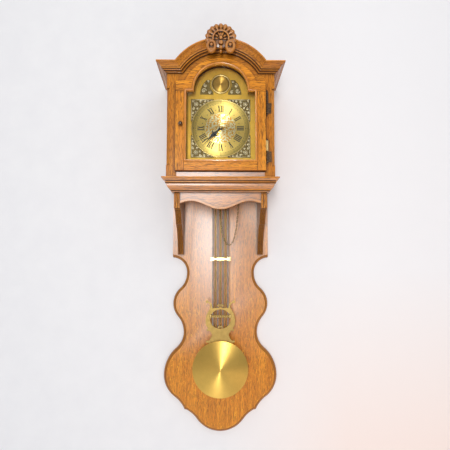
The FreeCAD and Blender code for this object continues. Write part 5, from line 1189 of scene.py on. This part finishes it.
def make_bridge():
    """The cusped plate that holds the rods together."""
    low, high = (Vector(corner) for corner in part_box("pendulum_bridge"))
    centre, half = (low + high) / 2, (high - low) / 2
    right = BRIDGE_SHARES + [(x, -z) for x, z in reversed(BRIDGE_SHARES[:-1])]
    outline = right + [(-x, z) for x, z in reversed(right[1:-1])]
    shape = Shape()
    shape.slab([(centre.x + x * half.x, centre.z + z * half.z) for x, z in outline],
               high.y, low.y)
    add_piece("pendulum_bridge_cusped", shape, rim_brass,
              "pendulum", replaced="pendulum_bridge", smooth=False)


make_numerals()
make_minute_numbers()
make_rims()
make_spandrels()
make_engraving()
make_crest()
make_sight_moulding()
make_apron_bead()
make_board()
make_reeds()
make_beads()
make_door_joints()
make_lyre_trim()
make_bridge()


# Stage, light and camera


def flat_sheet(name, corners, material):
    mesh = bpy.data.meshes.new(name)
    mesh.from_pydata(corners, [], [tuple(range(len(corners)))])
    mesh.materials.append(material)
    new_object(name, mesh)


def plaster():
    """Pale wall paint, seen from its front only, with painted light: lighter towards the right and
    a painted warm glow low on the right.
    """
    paint = Paint("stage_plaster")
    mottle = paint.noise(paint.place(), 14.0, 4.0, 0.6)
    tone = paint.mix(paint.ramp(mottle, 0.3, 0.7), (0.84, 0.845, 0.865), (0.87, 0.875, 0.89))
    # Painted light: the wall lighter towards the right
    right = paint.ramp(paint.along("X"), 0.05, 0.45, 0.0, 0.8)
    tone = paint.mix(right, tone, (0.91, 0.915, 0.935))
    # Painted warm glow low on the right of the wall, and on the right of the floor
    warm = paint.times(paint.ramp(paint.along("X"), 0.0, 0.4),
                       paint.ramp(paint.along("Z"), -0.55, -1.1))
    tone = paint.mix(warm, tone, (0.93, 0.83, 0.79))
    paint.surface(Base_Color=tone, Roughness=0.9)
    behind = paint.node("NewGeometry").outputs["Backfacing"]
    paint.blend_shaders(behind, paint.shader, paint.node("BsdfTransparent"))
    return paint.material


WALL_HALF_WIDTH = 4.0
WALL_TOP = 3.0
WALL_PLACE = 0.001
FLOOR_HEIGHT = -1.6
FLOOR_FRONT = -5.0
WALL_INSET = 0.006
WALL_STEPS = 150


def make_stage():
    """Wall and floor. The wall is open behind the board, so that its back isn't in the dark."""
    wide, low, back = WALL_HALF_WIDTH, FLOOR_HEIGHT, WALL_PLACE
    paint = plaster()
    tree = surface_of("backboard")
    board_low, board_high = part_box("backboard")
    bottom, top = board_low[2] + 2 * WALL_INSET, board_high[2] - 2 * WALL_INSET
    edge = []
    for step in range(WALL_STEPS + 1):
        z = bottom + (top - bottom) * step / WALL_STEPS
        side = tree.ray_cast(Vector((wide, board_low[1] / 2, z)), Vector((-1.0, 0.0, 0.0)))[0]
        edge.append((max(side.x - WALL_INSET, 0.0), z))
    outline = [(0.0, low), (wide, low), (wide, WALL_TOP), (0.0, WALL_TOP), (0.0, top)]
    outline += list(reversed(edge)) + [(0.0, bottom)]
    for side, name in ((-1, "stage_wall_left"), (1, "stage_wall_right")):
        corners = [(side * x, back, z) for x, z in outline]
        flat_sheet(name, corners if side > 0 else corners[::-1], paint)
    flat_sheet("stage_floor", [(-wide, FLOOR_FRONT, low), (wide, FLOOR_FRONT, low),
                               (wide, back, low), (-wide, back, low)], paint)


WHITE = (1.0, 1.0, 1.0)
# Name, place, point it is aimed at, width, height, strength, colour, and whether metal and
# glass show it
LAMPS = [
    ("window", (-0.24, -3.0, -0.24), (0.0, 0.0, -0.45), 0.30, 1.3, 24.0, WHITE, True),
    ("flash", (-0.34, -3.0, -0.40), (0.0, 0.0, -0.45), 0.6, 0.7, 7.2, WHITE, False),
    ("right_fill", (1.6, -2.0, 1.3), (0.3, 0.0, -0.3), 1.4, 1.4, 1.2, WHITE, False),
    ("ceiling", (-0.3, -1.6, 1.6), (0.0, -0.1, -0.3), 2.2, 1.4, 1.1, (1.0, 0.98, 0.95), True),
    ("low_warm", (1.0, -1.3, -1.5), (0.4, 0.0, -0.9), 1.0, 0.6, 1.7, (1.0, 0.70, 0.52), False),
]
WORLD_COLOUR = (0.95, 0.96, 1.0, 1.0)
WORLD_STRENGTH = 0.36


def make_light():
    for name, place, aim, width, height, radiance, colour, shiny in LAMPS:
        light = bpy.data.lights.new(name, "AREA")
        light.shape = "RECTANGLE"
        light.size = width
        light.size_y = height
        light.energy = radiance * math.pi * width * height
        light.color = colour
        lamp = new_object(name, light)
        lamp.location = place
        lamp.rotation_euler = (Vector(aim) - Vector(place)).to_track_quat("-Z", "Y").to_euler()
        lamp.visible_camera = False
        lamp.visible_glossy = shiny
    world = bpy.data.worlds.new("studio")
    world.use_nodes = True
    sky = world.node_tree.nodes["Background"].inputs
    sky["Color"].default_value = WORLD_COLOUR
    sky["Strength"].default_value = WORLD_STRENGTH
    scene.world = world


def make_camera():
    data = bpy.data.cameras.new("camera")
    data.sensor_width = 36.0
    data.lens = data.sensor_width * FOCAL_PIXELS / IMAGE_WIDTH
    data.clip_start = 0.01
    camera = new_object("camera", data)
    camera.location = CAMERA_PLACE
    turn = (Matrix.Rotation(CAMERA_YAW, 4, "Z")
            @ Matrix.Rotation(math.radians(90.0) + CAMERA_PITCH, 4, "X")
            @ Matrix.Rotation(CAMERA_ROLL, 4, "Z"))
    camera.rotation_euler = turn.to_euler()
    scene.camera = camera


make_stage()
make_light()
make_camera()
scene.view_settings.view_transform = "Standard"
